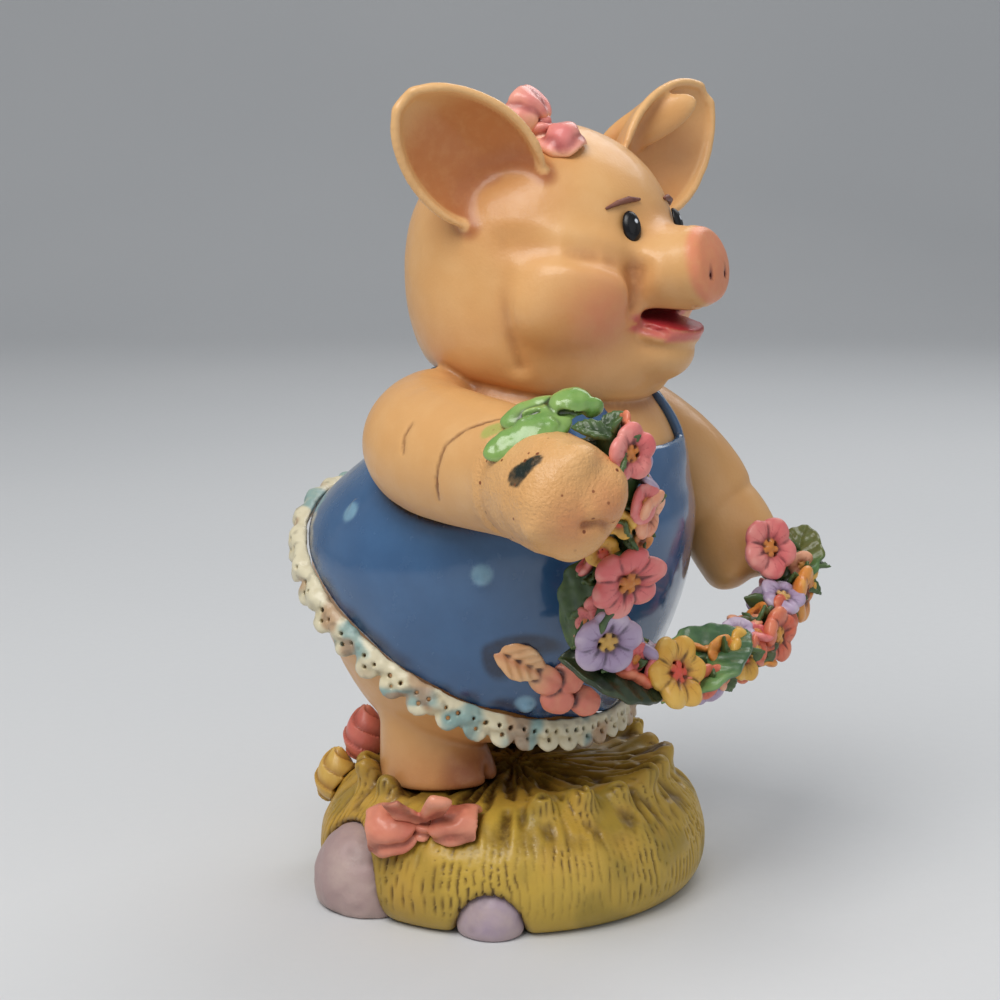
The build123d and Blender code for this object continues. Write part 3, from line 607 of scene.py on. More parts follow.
def marks(node, offsets, side=1):
    """Places on a node from offsets in millimetres, mirrored for side -1."""
    return [centre_of(node) + np.array(offset) * (side, 1, 1) * MM for offset in np.atleast_2d(offsets)]


def beside_line(points, corners):
    """Distance to a line through several places."""
    return np.minimum.reduce([capsule(points, a, b, 0.0) for a, b in zip(corners, corners[1:])])


def score(field, corners, radius, soft, middle=None, lift=0.0):
    """Cut a groove along some places, which may be lifted away from a middle to make it shallow."""
    if middle is not None:
        corners = [corner + unit(corner - middle) * lift for corner in corners]
    centre = np.mean(corners, axis=0)
    reach = nearest(np.array(corners), [centre]).max() + radius + 3 * soft
    field.cut(lambda p: beside_line(p, corners) - radius, centre, reach, soft)


def mouth_form(points, form):
    """Distance to one of the mouth's forms."""
    offset, halves = form
    return pebble(points, marks("tongue", offset)[0], MOUTH_AXES, np.array(halves) * MM)


def nose_way():
    """The middle of the nose pad and the way it faces."""
    pad = centre_of("nose_pad")
    return pad, unit(pad - centre_of("snout"))


def nostrils():
    """The two ends of each nostril on the nose pad."""
    pad, out = nose_way()
    up = np.cross((1.0, 0, 0), out)
    up = up * np.sign(up[2])
    rows = []
    for _, sign in SIDES:
        place = pad + out * NOSTRIL_OUT + np.array([sign * NOSTRIL_ASIDE, 0, 0])
        rows.append([place + up * height for height in NOSTRIL_HEIGHTS])
    return rows


def face_details(field):
    """Eye sockets, the cheeks and their folds, the muzzle's broad root, and the pad with its nostrils."""
    head = centre_of("head")
    for side, sign in SIDES:
        eye = centre_of("eye_" + side)
        socket = eye + unit(eye - head) * SOCKET_OUT
        field.cut(lambda p: ball(p, socket, SOCKET_RADIUS), socket, 6 * MM, 1.4 * MM)
        for place, radius in zip(marks("head", CHEEK_SWELL, sign), CHEEK_RADII):
            centre = place - unit(place - head) * (radius - CHEEK_RISE)
            field.add(lambda p: ball(p, centre, radius), centre, 2 * radius, 4.0 * MM)
    root = centre_of("snout") + MUZZLE_OFFSET
    field.add(lambda p: pebble(p, root, np.eye(3), MUZZLE_HALVES), root, 16 * MM, 3.6 * MM)
    for _, sign in SIDES:
        for places, radius, soft, lift in HEAD_GROOVES:
            score(field, marks("head", places, sign), radius * MM, soft * MM, head, lift * MM)
    pad, along = nose_way()
    back, radius, half_width = PAD_GROOVE
    behind = pad - along * back
    field.cut(lambda p: ring(p, behind, along, radius, half_width), behind, 9 * MM, 0.7 * MM)
    for lower, upper in nostrils():
        field.cut(lambda p: capsule(p, lower, upper, NOSTRIL_RADIUS), lower, 4 * MM, 0.4 * MM)


def mouth_details(field):
    """The open mouth over its thick bed, and the tongue that lies in it."""
    steps = (
        (field.add, MOUTH_BED, 11 * MM, 0.8 * MM),
        (field.cut, OPENING, 11 * MM, 0.5 * MM),
        (field.add, TONGUE, 8 * MM, 0.5 * MM),
    )
    for change, form, reach, soft in steps:
        change(lambda p: mouth_form(p, form), marks("tongue", form[0])[0], reach, soft)


def limb_details(field):
    """The near hand's two toes and cleft, with the seam at its wrist and a crease in the sleeve of fat."""
    hand = centre_of("trotter_right")
    for lobe in marks("trotter_right", HAND_LOBES):
        centre = lobe - unit(lobe - hand) * (TOE_RADIUS - TOE_RISE)
        field.add(lambda p: ball(p, centre, TOE_RADIUS), centre, 8 * MM, 2.0 * MM)
    for node, places, radius, soft in LIMB_GROOVES:
        score(field, marks(node, places), radius * MM, soft * MM)


def rim_of(name):
    """The sharp edges of a CAD node, as pairs of ends."""
    points, triangles = welded(*node_shape(name))
    _, normals = triangle_ways(points, triangles)
    normals /= np.maximum(np.linalg.norm(normals, axis=1, keepdims=True), 1e-18)
    owners = {}
    for i, triangle in enumerate(triangles.tolist()):
        for a, b in zip(triangle, triangle[1:] + triangle[:1]):
            owners.setdefault((min(a, b), max(a, b)), []).append(i)
    shared = {key: own for key, own in owners.items() if len(own) == 2}
    pairs = [key for key, (i, j) in shared.items() if normals[i] @ normals[j] < 0.3]
    return points[np.array(pairs)].astype(float)


def add_ears(field):
    """Fuse the cupped ears on, with a thick rounded rim, and return where the rims run."""
    head = field.node(["head"])
    rims = []
    for name in EARS:
        ends = rim_of(name)
        clear = field.sample(ends.mean(1), head)
        ends = ends[clear > RIM_START]
        widths = EAR_RIM * smooth_step(1.0 * MM, 5.0 * MM, clear[clear > RIM_START])
        rims.append(ends)
        field.join(field.blurred(EAR_ROUNDING, field.node([name])) - EAR_SWELL, EAR_FILLET)
        for (start, end), width in zip(ends, widths):
            middle = (start + end) / 2
            reach = np.linalg.norm(end - start) / 2 + EAR_RIM + 2 * MM
            field.add(lambda p: capsule(p, start, end, width), middle, reach, 0.9 * MM)
    return np.concatenate(rims)


def add_flap(field):
    """The flap of the far ear, turned over its hollow."""
    middle = centre_of("ear_left") + FLAP_MIDDLE + ear_facing("ear_left") * 0.6 * MM
    axes = (EDGE_ALONG, EDGE_OUT, np.cross(EDGE_ALONG, EDGE_OUT))
    field.add(lambda p: pebble(p, middle, axes, FLAP_HALVES), middle, 14 * MM, 1.2 * MM)


def skin_height(points, masks):
    """Small relief of the cast: gentle waves all over, and lumps on the near hand."""
    return waves(points, SKIN_WAVES) + waves(points, HAND_WAVES) * masks["hands"]


def ear_masks(field, points, normals, rims):
    """How far each point lies in an ear's hollow, how near its root, painted darker as shade, and how near
    its rim, painted lighter as a highlight.
    """
    head = centre_of("head")
    ears = near(field.from_nodes(points, EARS) - EAR_SWELL, 2.2 * MM)
    inner = np.zeros(len(points))
    root = np.zeros(len(points))
    for name, strength in zip(EARS, EAR_STRENGTHS):
        corners, _ = node_shape(name)
        out = np.linalg.norm(corners - head, axis=1)
        tip = out.max()
        base = np.percentile(out, 12)
        inside = near(ball(points, centre_of(name), size_of(name).max() * 0.6), 2 * MM)
        faces = smooth_step(-0.05, 0.45, normals @ ear_facing(name)) * inside * strength
        share = (tip - ball(points, head, 0)) / (tip - base)
        inner = np.maximum(inner, faces * smooth_step(0.0, 0.45, share))
        root = np.maximum(root, faces * smooth_step(0.75, 1.3, share))
    rim = np.zeros(len(points))
    close = np.flatnonzero(ears > 0)
    away = np.full(len(close), 1.0)
    for start, end in rims:
        away = np.minimum(away, capsule(points[close], start, end, 0.0))
    rim[close] = smooth_step(1.5 * MM, 0.9 * MM, away)
    hollow = ears * (1 - rim)
    # The root takes painted shade and the rim a painted highlight
    return {"inner_ear": inner * hollow, "ear_root_shade": root * hollow, "ear_rim_highlight": rim * ears}


def face_masks(field, points):
    """Masks of the nose, the mouth with its tongue and lip, the painted shade at the temples, and the
    blush.
    """
    inside = near(mouth_form(points, OPENING) - 0.15 * MM, 0.4 * MM)
    tongue = mouth_form(points, TONGUE)
    lip = np.minimum(field.from_nodes(points, ["lower_lip"]), tongue - 0.8 * MM)
    holes = np.min([capsule(points, *ends, NOSTRIL_RADIUS) for ends in nostrils()], axis=0)
    pad, out = nose_way()
    front = smooth_step(-0.7 * MM, 0.5 * MM, (points - pad) @ out)
    temples = [0.45 * centre_of("head") + 0.55 * centre_of(name) for name in EARS]
    cheeks = [marks("head", BLUSH, sign)[0] for _, sign in SIDES]
    return {
        "nostril": near(holes - 0.05 * MM, 0.45 * MM),
        "nose": front * near(ball(points, pad, 6 * MM), 1.5 * MM),
        "mouth": inside,
        "tongue": near(tongue - 0.1 * MM, 0.35 * MM),
        "lip": near(lip, 0.7 * MM) * (1 - inside),
        # Painted shade on the head between the ears and the cheeks
        "temple_shade": smooth_step(15 * MM, 7 * MM, nearest(points, temples)),
        "blush": np.exp(-np.square(nearest(points, cheeks) / (6.2 * MM))),
    }


def limb_masks(field, points):
    """Masks of the near hand with its toes, seams and stains, and of the painted shade on the feet near the
    grass and at their toe tips.
    """
    hand = near(field.from_nodes(points, ["trotter_right"]), 3 * MM)
    toes = nearest(points, marks("trotter_right", HAND_LOBES))
    seams = np.minimum(
        beside_line(points, marks("arm_right", WRIST_SEAM)),
        beside_line(points, marks("arm_right", ARM_CREASE)),
    )
    ink = capsule(points, *marks("trotter_right", INK_SPOT), 1.7 * MM, 0.8 * MM)
    smear = beside_line(points, marks("arm_right", GREEN_SMEAR)) - 1.1 * MM
    above = points[:, 2] - MOUND_TOP
    forward = centre_of("leg_right")[1] - points[:, 1]
    return {
        "hands": hand * smooth_step(-8 * MM, -12 * MM, points[:, 1]),
        "toes": np.exp(-np.square(toes / (3.6 * MM))),
        "seams": near(seams - 0.1 * MM, 0.32 * MM),
        "ink": near(ink, 0.25 * MM),
        "smear": near(smear, 0.6 * MM),
        # Painted shade low on the feet near the grass, stronger at the front of the toes
        "feet_shade": smooth_step(9 * MM, 1 * MM, above),
        "toe_shade": smooth_step(8 * MM, 3 * MM, above) * smooth_step(3 * MM, 7 * MM, forward),
    }


def skin_masks(field, points, normals, rims):
    """Every paint mask of the skin."""
    hollow, edge = hollows(field, points, 1.1 * MM)
    deep, _ = hollows(field, points, 3.2 * MM)
    masks = face_masks(field, points) | limb_masks(field, points) | ear_masks(field, points, normals, rims)
    # Painted shade in the creases, kept out of the mouth and the ears' hollows, a painted highlight on
    # raised edges, and broader painted shade in the deep creases
    masks["hollow"] = smooth_step(0.12, 0.75, hollow) * 0.75 * (1 - masks["mouth"])
    masks["hollow"] = masks["hollow"] * (1 - 0.8 * masks["inner_ear"])
    masks["edge"] = smooth_step(0.25, 0.9, edge)
    masks["shade"] = smooth_step(0.06, 0.5, deep) * (1 - masks["inner_ear"])
    return masks


def softened(field, name):
    """Distances to a CAD node of the skin, with its edges rounded."""
    values = field.node([name])
    return field.blurred(ROUNDING[name], values) if name in ROUNDING else values


def skin_form():
    """The body, head, limbs and ears as one form, and where the ears' rims run."""
    field = Field(*box_of(SKIN_NODES + EARS), LARGE_STEP)
    first, *others = SKIN_NODES
    field.values = softened(field, first)
    for name in others:
        field.join(softened(field, name), PAD_FILLET if name == "nose_pad" else BODY_FILLET)
    face_details(field)
    mouth_details(field)
    limb_details(field)
    rims = add_ears(field)
    add_flap(field)
    return field, rims


def make_skin():
    """The pig's body, head, limbs and ears as one painted piece."""
    field, rims = skin_form()
    points, faces, normals = field.surface()
    masks = skin_masks(field, points, normals, rims)
    points = points + normals * skin_height(points, masks)[:, None]
    material = painted(
        "skin", (0.855, 0.645, 0.405), (0.91, 0.74, 0.52), (0.50, 0.26, 0.11), roughness=0.4, coat=0.18,
        bump=0.18, patches=0.3, pits="hands", layers=SKIN_COATS,
    )
    make_piece("skin", points, faces, masks, material, "skin", SKIN_NODES + EARS + ["tongue"])


def ear_facing(name):
    """The way an ear's hollow faces: across its thin side, toward where its surface dips inward."""
    points, triangles = node_shape(name)
    corners, normals = triangle_ways(points, triangles)
    middles = corners.mean(1) - points.mean(0)
    hollow = np.einsum("ij,ij->i", normals, middles) < 0
    thin = main_ways(points)[2]
    return unit(thin * np.sign(normals[hollow].sum(0) @ thin))


# Dress and lace

# Raised drops on the dress, in millimetres from its middle, and the number of scallops in the lace
DROPS = [(-26.5, 12.6, 6.3), (-28.3, -11.8, -0.6), (-19.2, -14.0, -22.0)]
SCALLOPS = 44
# The dress's folds for each radian round, their height, and its uneven heights
FOLDS = 15
FOLD_HEIGHT = 0.2 * MM
DRESS_WAVES = ((0.2, 11.0, 6), (0.04, 2.5, 7))
DRESS_ROUNDING = 0.35 * MM
DRESS_SWELL = 0.12 * MM
# A raised drop: how deep it sits in the dress, how far it runs down and up, and its radius at each end
DROP_SINK = 0.9 * MM
DROP_DOWN = np.array([0, 0, 0.9]) * MM
DROP_UP = np.array([0, 0, 1.3]) * MM
DROP_RADII = (1.5 * MM, 0.7 * MM)
LACE_WAVES = ((0.16, 1.5, 10), (0.08, 0.8, 11))
LACE_ROUNDING = 0.5 * MM
HOLE_RADIUS = 0.36 * MM
# Half sizes of a scallop, and the places of its three holes across and down, in millimetres
SCALLOP_HALVES = np.array([2.2, 2.5, 0.85]) * MM
LACE_HOLES = ((0.0, 1.5), (-1.05, 0.2), (1.05, 0.2))


def dress_form(nodes, drops):
    """The dress and its straps, softened, with raised drops."""
    field = Field(*box_of(nodes), LARGE_STEP)
    field.values = field.node(nodes)
    field.values = field.blurred(DRESS_ROUNDING) - DRESS_SWELL
    for place in drops:
        middle = place - unit(place - centre_of("dress")) * DROP_SINK
        ends = (middle - DROP_DOWN, middle + DROP_UP)
        field.add(lambda p: capsule(p, *ends, *DROP_RADII), place, 4 * MM, 0.4 * MM)
    return field


def dress_relief(points):
    """The height of the dress's soft folds, deeper toward its hem."""
    turn = np.arctan2(points[:, 1], points[:, 0])
    folds = np.sin(turn * FOLDS + 2 * noise(points, 14 * MM, 5))
    low, high = box_of(["dress"])
    rise = smooth_step(0.5, 0.0, (points[:, 2] - low[2]) / (high[2] - low[2]))
    return FOLD_HEIGHT * folds * rise + waves(points, DRESS_WAVES)


def make_dress():
    """The blue dress, with painted shade and painted shadow where other pieces meet it."""
    nodes = ["dress", "strap_right", "strap_left"]
    drops = marks("dress", DROPS)
    field = dress_form(nodes, drops)
    points, faces, normals = field.surface()
    hollow, edge = hollows(field, points, 1.1 * MM)
    arms = field.from_nodes(points, ["arm_right", "arm_left", "trotter_right", "trotter_left"])
    frill = near(field.from_nodes(points, ["lace_frill"]) - 0.6 * MM, 2.6 * MM)
    frill = frill * patches_of(points, 3, 8, -0.6, 0.3)
    sprays = field.from_nodes(points, ["petal_skirt", "garland_vine", "flower_lilac_large"])
    # Painted shade in creases and where the arms meet the dress, a painted highlight on raised edges, a
    # dark wash in patches above the lace with painted shade by the arms, and painted shadow as a dark
    # outline round the sprays
    masks = {
        "hollow": np.clip(smooth_step(0.15, 0.8, hollow) * 0.5 + near(arms - 0.3 * MM, 1.3 * MM), 0, 1),
        "edge": smooth_step(0.3, 0.9, edge),
        "wash_and_shade": np.maximum(frill, near(arms, 4 * MM) * 0.6),
        "outline": near(sprays - 0.9 * MM, 1.2 * MM),
        "drop": near(nearest(points, drops) - 1.1 * MM, 0.9 * MM),
    }
    points = points + normals * dress_relief(points)[:, None]
    # Coats: a dark wash by the lace with painted shade by the arms, painted shadow as a dark outline round
    # the sprays, and the drops' pale paint
    coats = (
        ("wash_and_shade", (0.09, 0.15, 0.28), 0.85),
        ("outline", (0.07, 0.09, 0.18), 0.85),
        ("drop", (0.50, 0.66, 0.74), 0.8),
    )
    material = painted(
        "dress", (0.18, 0.32, 0.48), (0.25, 0.41, 0.58), (0.04, 0.06, 0.13), roughness=0.2, coat=0.8,
        bump=0.08, grain=0.9 * MM, patches=0.45, layers=coats,
    )
    make_piece("dress", points, faces, masks, material, "dress", nodes)


def frill_places():
    """Places at even steps round the frill, with the way round, the way down and the way out of each."""
    points, _ = node_shape("lace_frill")
    middle = centre_of("lace_frill")
    turns = np.arctan2(points[:, 1] - middle[1], points[:, 0] - middle[0])
    step = 2 * math.pi / SCALLOPS
    places = []
    for i in range(SCALLOPS):
        away = np.mod(turns - i * step + math.pi, 2 * math.pi) - math.pi
        places.append(points[np.abs(away) < 0.7 * step].mean(0))
    rows = []
    for i, place in enumerate(places):
        way = unit(places[(i + 1) % SCALLOPS] - places[i - 1])
        out = (place - middle) * (1, 1, 0)
        down = np.cross(way, unit(out))
        down = unit(down * np.sign(-down[2]) + 0.35 * unit(out))
        rows.append((place.astype(float), way, down, unit(np.cross(way, down))))
    return rows


def frill_form():
    """The lace: a shell-shaped scallop at each step, pierced, on a gathered band."""
    low, high = box_of(["lace_frill"])
    field = Field(low - 1 * MM, high + 1 * MM, THIN_STEP)
    field.values = field.blurred(LACE_ROUNDING, field.node(["lace_frill"])) - 0.1 * MM
    rows = frill_places()
    for place, way, down, out in rows:
        centre = place + down * 0.9 * MM
        axes = (way, down, out)
        field.add(lambda p: pebble(p, centre, axes, SCALLOP_HALVES), centre, 4.2 * MM, 0.3 * MM)
    for place, way, down, out in rows:
        for across, along in LACE_HOLES:
            hole = place + way * across * MM + down * along * MM
            ends = (hole - out * 2 * MM, hole + out * 2 * MM)
            field.cut(lambda p: capsule(p, *ends, HOLE_RADIUS), hole, 2.6 * MM, 0.25 * MM)
    return field


def make_frill():
    """The painted lace, ridged and stained teal and tan in patches."""
    field = frill_form()
    points, faces, normals = field.surface()
    points = points + normals * waves(points, LACE_WAVES)[:, None]
    hollow, edge = hollows(field, points, 0.8 * MM)
    stain = patches_of(points, 1.1, 12, -0.4, -0.75)
    # Painted shade in the lace's crevices, mixed with stains in patches, and a painted highlight on its
    # raised edges
    masks = {
        "hollow": np.clip(smooth_step(0.02, 0.5, hollow) * 0.9 + stain * 0.35, 0, 1),
        "edge": smooth_step(0.25, 0.8, edge),
        "teal": patches_of(points, 3.6, 13, 0.0, 0.35),
        "tan": patches_of(points, 3.9, 14, 0.1, 0.45),
    }
    material = painted(
        "lace", (0.76, 0.71, 0.57), (0.88, 0.85, 0.74), (0.27, 0.24, 0.20), roughness=0.4, coat=0.2,
        bump=0.35, grain=0.4 * MM,
        layers=(("teal", (0.42, 0.60, 0.61), 0.8), ("tan", (0.66, 0.48, 0.33), 0.7)),
    )
    make_piece("lace_frill", points, faces, masks, material, "lace", ["lace_frill"])


# Grass mound, and the number of blades round its rim

BLADES = 150
# Blades on the crown: how fast their pattern changes for each radian round, and along each blade
CROWN_ROUND = 24 * MM
CROWN_ALONG = 0.3
SIDE_DEPTH = 0.5 * MM
CROWN_DEPTH = 0.85 * MM
GRASS_WAVES = ((0.35, 4.5, 29),)
MOUND_ROUNDING = 0.9 * MM
TUFT_ROUNDING = 0.7 * MM
TUFT_FILLET = 3.0 * MM
# Coats of paint on the grass, from the first to the last: mask, colour and strength. The coat on the front
# is painted light
GRASS_COATS = (
    ("green", (0.57, 0.48, 0.16), 0.5),
    ("brown", (0.40, 0.26, 0.10), 0.9),
    ("lit_front", (0.78, 0.66, 0.26), 0.6),
    ("olive", (0.48, 0.42, 0.13), 0.45),
    ("straw", (0.80, 0.62, 0.24), 0.5),
)


def make_grass():
    """The mound with its blades pressed in, and tufts round the crown."""
    nodes = ["base_mound", "grass_tufts"]
    field = Field(*box_of(nodes), LARGE_STEP)
    field.values = field.blurred(MOUND_ROUNDING, field.node(["base_mound"]))
    field.join(field.blurred(TUFT_ROUNDING, field.node(["grass_tufts"])), TUFT_FILLET)
    points, faces, normals = field.surface()
    height, shade = grass_relief(points, normals)
    lifted = points + normals * height[:, None]
    lifted[:, 2] = np.maximum(lifted[:, 2], np.minimum(points[:, 2], 0.2 * MM))
    masks = grass_masks(field, points, shade)
    material = painted(
        "grass", (0.70, 0.54, 0.19), (0.80, 0.65, 0.28), (0.26, 0.16, 0.04), roughness=0.42, coat=0.15,
        bump=0.3, patches=0.5, layers=GRASS_COATS,
    )
    make_piece("grass", lifted, faces, masks, material, "grass", nodes)


def grass_masks(field, points, shade):
    """Masks of the grass: painted shade between blades and under what stands on it, painted highlights on
    the blades, painted light on the front, and patches of colour.
    """
    hollow, _ = hollows(field, points, 1.2 * MM)
    feet_shade = near(field.from_nodes(points, ["leg_right", "leg_left"]) - 0.2 * MM, 4 * MM)
    stones = near(field.from_nodes(points, ["stone_large", "stone_small"]) - 0.2 * MM, 1.6 * MM)
    dark = smooth_step(0.2, 0.9, hollow) * 0.5 + 0.8 * shade + 0.7 * stones + 0.5 * feet_shade
    rise = points[:, 2] / MOUND_TOP
    out = np.hypot(points[:, 0], points[:, 1]) / (0.5 * size_of("base_mound")[0])
    brown = smooth_step(0.85, 0.5, out) * patches_of(points, 6, 22, -0.7, 0.2)
    low = points[:, 2] + 4 * MM * noise(points, 9 * MM, 21)
    front = points[:, 1] + 8 * MM * noise(points, 12 * MM, 26)
    # Painted shade between blades and by the stones and feet, a painted highlight on the raised blades, and
    # painted light toward the front
    return {
        "hollow": np.clip(dark, 0, 1),
        "edge": np.clip(1 - shade * 2, 0, 1) * 0.7,
        "green": smooth_step(0.5, 0.1, low / MOUND_TOP),
        "brown": smooth_step(0.62, 0.92, rise) * brown,
        "olive": patches_of(points, 5, 50, 0.0, 0.6),
        "straw": patches_of(points, 4, 51, 0.0, 0.6) * smooth_step(0.3, 0.8, rise),
        "lit_front": smooth_step(8 * MM, -10 * MM, front),
    }


def grass_relief(points, normals):
    """The height of the pressed grass and how deep between blades each point is."""
    turn = np.arctan2(points[:, 1], points[:, 0])
    out = np.hypot(points[:, 0], points[:, 1])
    rise = points[:, 2] / MOUND_TOP
    steep = smooth_step(0.85, 0.45, normals[:, 2])
    warp = noise(points, 5 * MM, 23)
    cells = turn * BLADES / (2 * math.pi) + 0.55 * warp + 0.25 * noise(points, 2 * MM, 27)
    between = 1 - np.abs(np.sin(math.pi * cells))
    patch = patches_of(points, 3.2, 28, -0.35, 0.35)
    side = smooth_step(0.55, 0.95, between) * (0.35 + 0.65 * patch)
    side = side * smooth_step(0.1, 0.28, rise)
    flat = np.stack([turn * CROWN_ROUND, out * CROWN_ALONG, out * 0], 1) + (0.5 * warp)[:, None] * MM
    crown = patches_of(flat, 1.1, 25, 0.25, -0.55)
    depth = side * steep + crown * (1 - steep)
    lumps = waves(points, GRASS_WAVES) * smooth_step(0.2, 0.6, rise)
    deepest = SIDE_DEPTH * steep + CROWN_DEPTH * (1 - steep)
    return (lumps - deepest * depth) * smooth_step(0.4 * MM, 3 * MM, points[:, 2]), depth


# Small castings: stones, bows, buds, eyes and brows

STONE_WAVES = ((0.35, 5.0, 31), (0.12, 1.5, 32))
STONE_ROUNDING = 0.6 * MM
# The gathers of the ribbons, for each radian round the knot, and their height
GATHERS = 8
GATHER_HEIGHT = 0.34 * MM
RIBBON_WAVES = ((0.1, 1.2, 34),)
RIBBON_ROUNDING = 0.35 * MM
EYE_ROUNDING = 0.12 * MM
# Windings of a bud's petals in half a turn, and the height in which they climb once round
WINDINGS = 1.5
WINDING_HEIGHT = 3.2 * MM
PETAL_STEP = 0.5 * MM
# The painted glint's place, from the middle of an eye
GLINT = np.array([-0.1, -1.0, 1.1]) * MM
GLINT_RADIUS = 0.42 * MM


def cast_piece(name, nodes, material, slot, step=SMALL_STEP, rounding=0.3 * MM, relief=None, painted_glint=None):
    """CAD nodes as one soft casting, with relief by a formula, and a painted glint: place and radius."""
    field = Field(*box_of(nodes), step)
    field.values = field.blurred(rounding, field.node(nodes)) - rounding * 0.15
    points, faces, normals = field.surface()
    hollow, edge = hollows(field, points, 2.5 * step)
    # Painted shade in the creases and a painted highlight on raised edges
    masks = {
        "hollow": smooth_step(0.1, 0.8, hollow) * 0.8,
        "edge": smooth_step(0.2, 0.9, edge),
        "under": smooth_step(0.15, -0.45, normals[:, 2]),
    }
    if painted_glint is not None:
        masks["painted_glint"] = near(ball(points, *painted_glint), 0.12 * MM)
    if relief is not None:
        height = relief(points)
        # Painted shade deeper where the relief dips
        masks["hollow"] = np.clip(masks["hollow"] + smooth_step(0, 1, -height / (0.35 * MM)) * 0.6, 0, 1)
        points = points + normals * height[:, None]
    points[:, 2] = np.maximum(points[:, 2], 0)
    return make_piece(name, points, faces, masks, material, slot, nodes)


def make_stones():
    """The two pebbles in the rim of the mound, in mottled lavender and tan."""
    for name, tint in (("stone_large", (0.66, 0.56, 0.55)), ("stone_small", (0.63, 0.56, 0.63))):
        material = painted(
            name, tint, (0.76, 0.68, 0.64), (0.34, 0.26, 0.22), roughness=0.45, grain=0.6 * MM, bump=0.35
        )
        cast_piece(
            name, [name], material, "stone", STONE_STEP, STONE_ROUNDING, lambda p: waves(p, STONE_WAVES)
        )


def ribbon_relief(knot):
    """Gathers that run out from a bow's knot."""
    def relief(points):
        local = points - knot
        turn = np.arctan2(local[:, 2], np.hypot(local[:, 0], local[:, 1]) + 0.2 * MM)
        gathers = np.sin(turn * GATHERS + 2.5 * noise(points, 3 * MM, 33))
        return GATHER_HEIGHT * gathers + waves(points, RIBBON_WAVES)
    return relief


def make_bows():
    """The pink ribbon bows in the hair and on the grass."""
    hair = painted(
        "hair_ribbon", (0.86, 0.48, 0.47), (0.93, 0.66, 0.58), (0.52, 0.16, 0.18), roughness=0.35,
        coat=0.3, patches=0.8, layers=(("under", (0.93, 0.70, 0.50), 0.8),),
    )
    ground = painted(
        "grass_ribbon", (0.80, 0.44, 0.36), (0.90, 0.62, 0.50), (0.45, 0.18, 0.12), roughness=0.4, coat=0.2
    )
    groups = (
        (hair, ("hair_bow_knot", "hair_bow_loop_back", "hair_bow_loop_front")),
        (ground, ("ground_bow_knot", "ground_bow_loops", "ground_bow_tails")),
    )
    for material, nodes in groups:
        relief = ribbon_relief(centre_of(nodes[0]))
        for node in nodes:
            cast_piece(node, [node], material, "ribbon", rounding=RIBBON_ROUNDING, relief=relief)


def make_buds():
    """Two closed roses behind the legs, their petals wound in a spiral."""
    buds = (
        ("bud_pink", (0.84, 0.44, 0.38), (0.92, 0.66, 0.55), "petal_pink"),
        ("bud_yellow", (0.80, 0.62, 0.26), (0.90, 0.78, 0.45), "petal_yellow"),
    )
    for name, tint, light, slot in buds:
        middle = centre_of(name)

        def relief(points):
            local = points - middle
            turn = np.arctan2(local[:, 1], local[:, 0])
            wound = np.mod(turn * WINDINGS / math.pi + local[:, 2] / WINDING_HEIGHT, 1.0)
            return PETAL_STEP * (wound - 0.6)

        material = painted(name, tint, light, (0.42, 0.16, 0.10), roughness=0.4, coat=0.15)
        cast_piece(name, [name], material, slot, relief=relief)


def make_brow(side, sign, material):
    """One thin painted brow that arches inward."""
    line = marks("head", BROW, sign)
    field = Field(np.min(line, axis=0) - 1 * MM, np.max(line, axis=0) + 1 * MM, FINE_STEP)
    for start, end, first, last in zip(line, line[1:], BROW_RADII, BROW_RADII[1:]):
        middle = (start + end) / 2
        field.add(lambda p: capsule(p, start, end, first * MM, last * MM), middle, 3 * MM, 0.1 * MM)
    points, faces, _ = field.surface()
    masks = {"edge": patches_of(points, 1, 47, -0.2, 0.6)}
    make_piece("brow_" + side, points, faces, masks, material, "brow", ["brow_" + side])


def make_eyes():
    """Glossy black eyes, each with a painted glint, and the brows."""
    black = painted(
        "eye", (0.02, 0.02, 0.03), (0.04, 0.04, 0.07), (0.0, 0.0, 0.0), roughness=0.3, bump=0.02,
        layers=(("painted_glint", (0.85, 0.88, 0.92), 1.0),),
    )
    brown = painted("brow", (0.43, 0.25, 0.22), (0.54, 0.36, 0.30), (0.20, 0.10, 0.08))
    for side, sign in SIDES:
        name = "eye_" + side
        # A painted highlight, a white dot where a glint would shine
        painted_glint = (centre_of(name) + GLINT, GLINT_RADIUS)
        cast_piece(name, [name], black, "eye", FINE_STEP, EYE_ROUNDING, painted_glint=painted_glint)
        make_brow(side, sign, brown)


# Garland: longest ways are counted from the pig's right and back toward its left and front

TO_THE_LEFT = np.array([0.5, -0.87, -0.1])
# How many small blooms fill the garland, and how many small leaves cover its stem
FILLERS = 60
SPROUTS = 150
# Least and greatest radius of a small bloom, and length of a small leaf, in millimetres
FILLER_RADII = (2.2, 3.3)
SPROUT_LENGTHS = (1.8, 3.3)
# How far a small bloom stays from the large flowers, as a share of their radius, from the hands, and
# from the others
FLOWER_SHARE = 0.62
HAND_GAP = 2.2 * MM
FILLER_GAP = 2.6 * MM
PETAL_WAVES = ((0.12, 1.2, 42),)
LEAF_WAVES = ((0.1, 1.0, 44), (0.12, 2.6, 48))
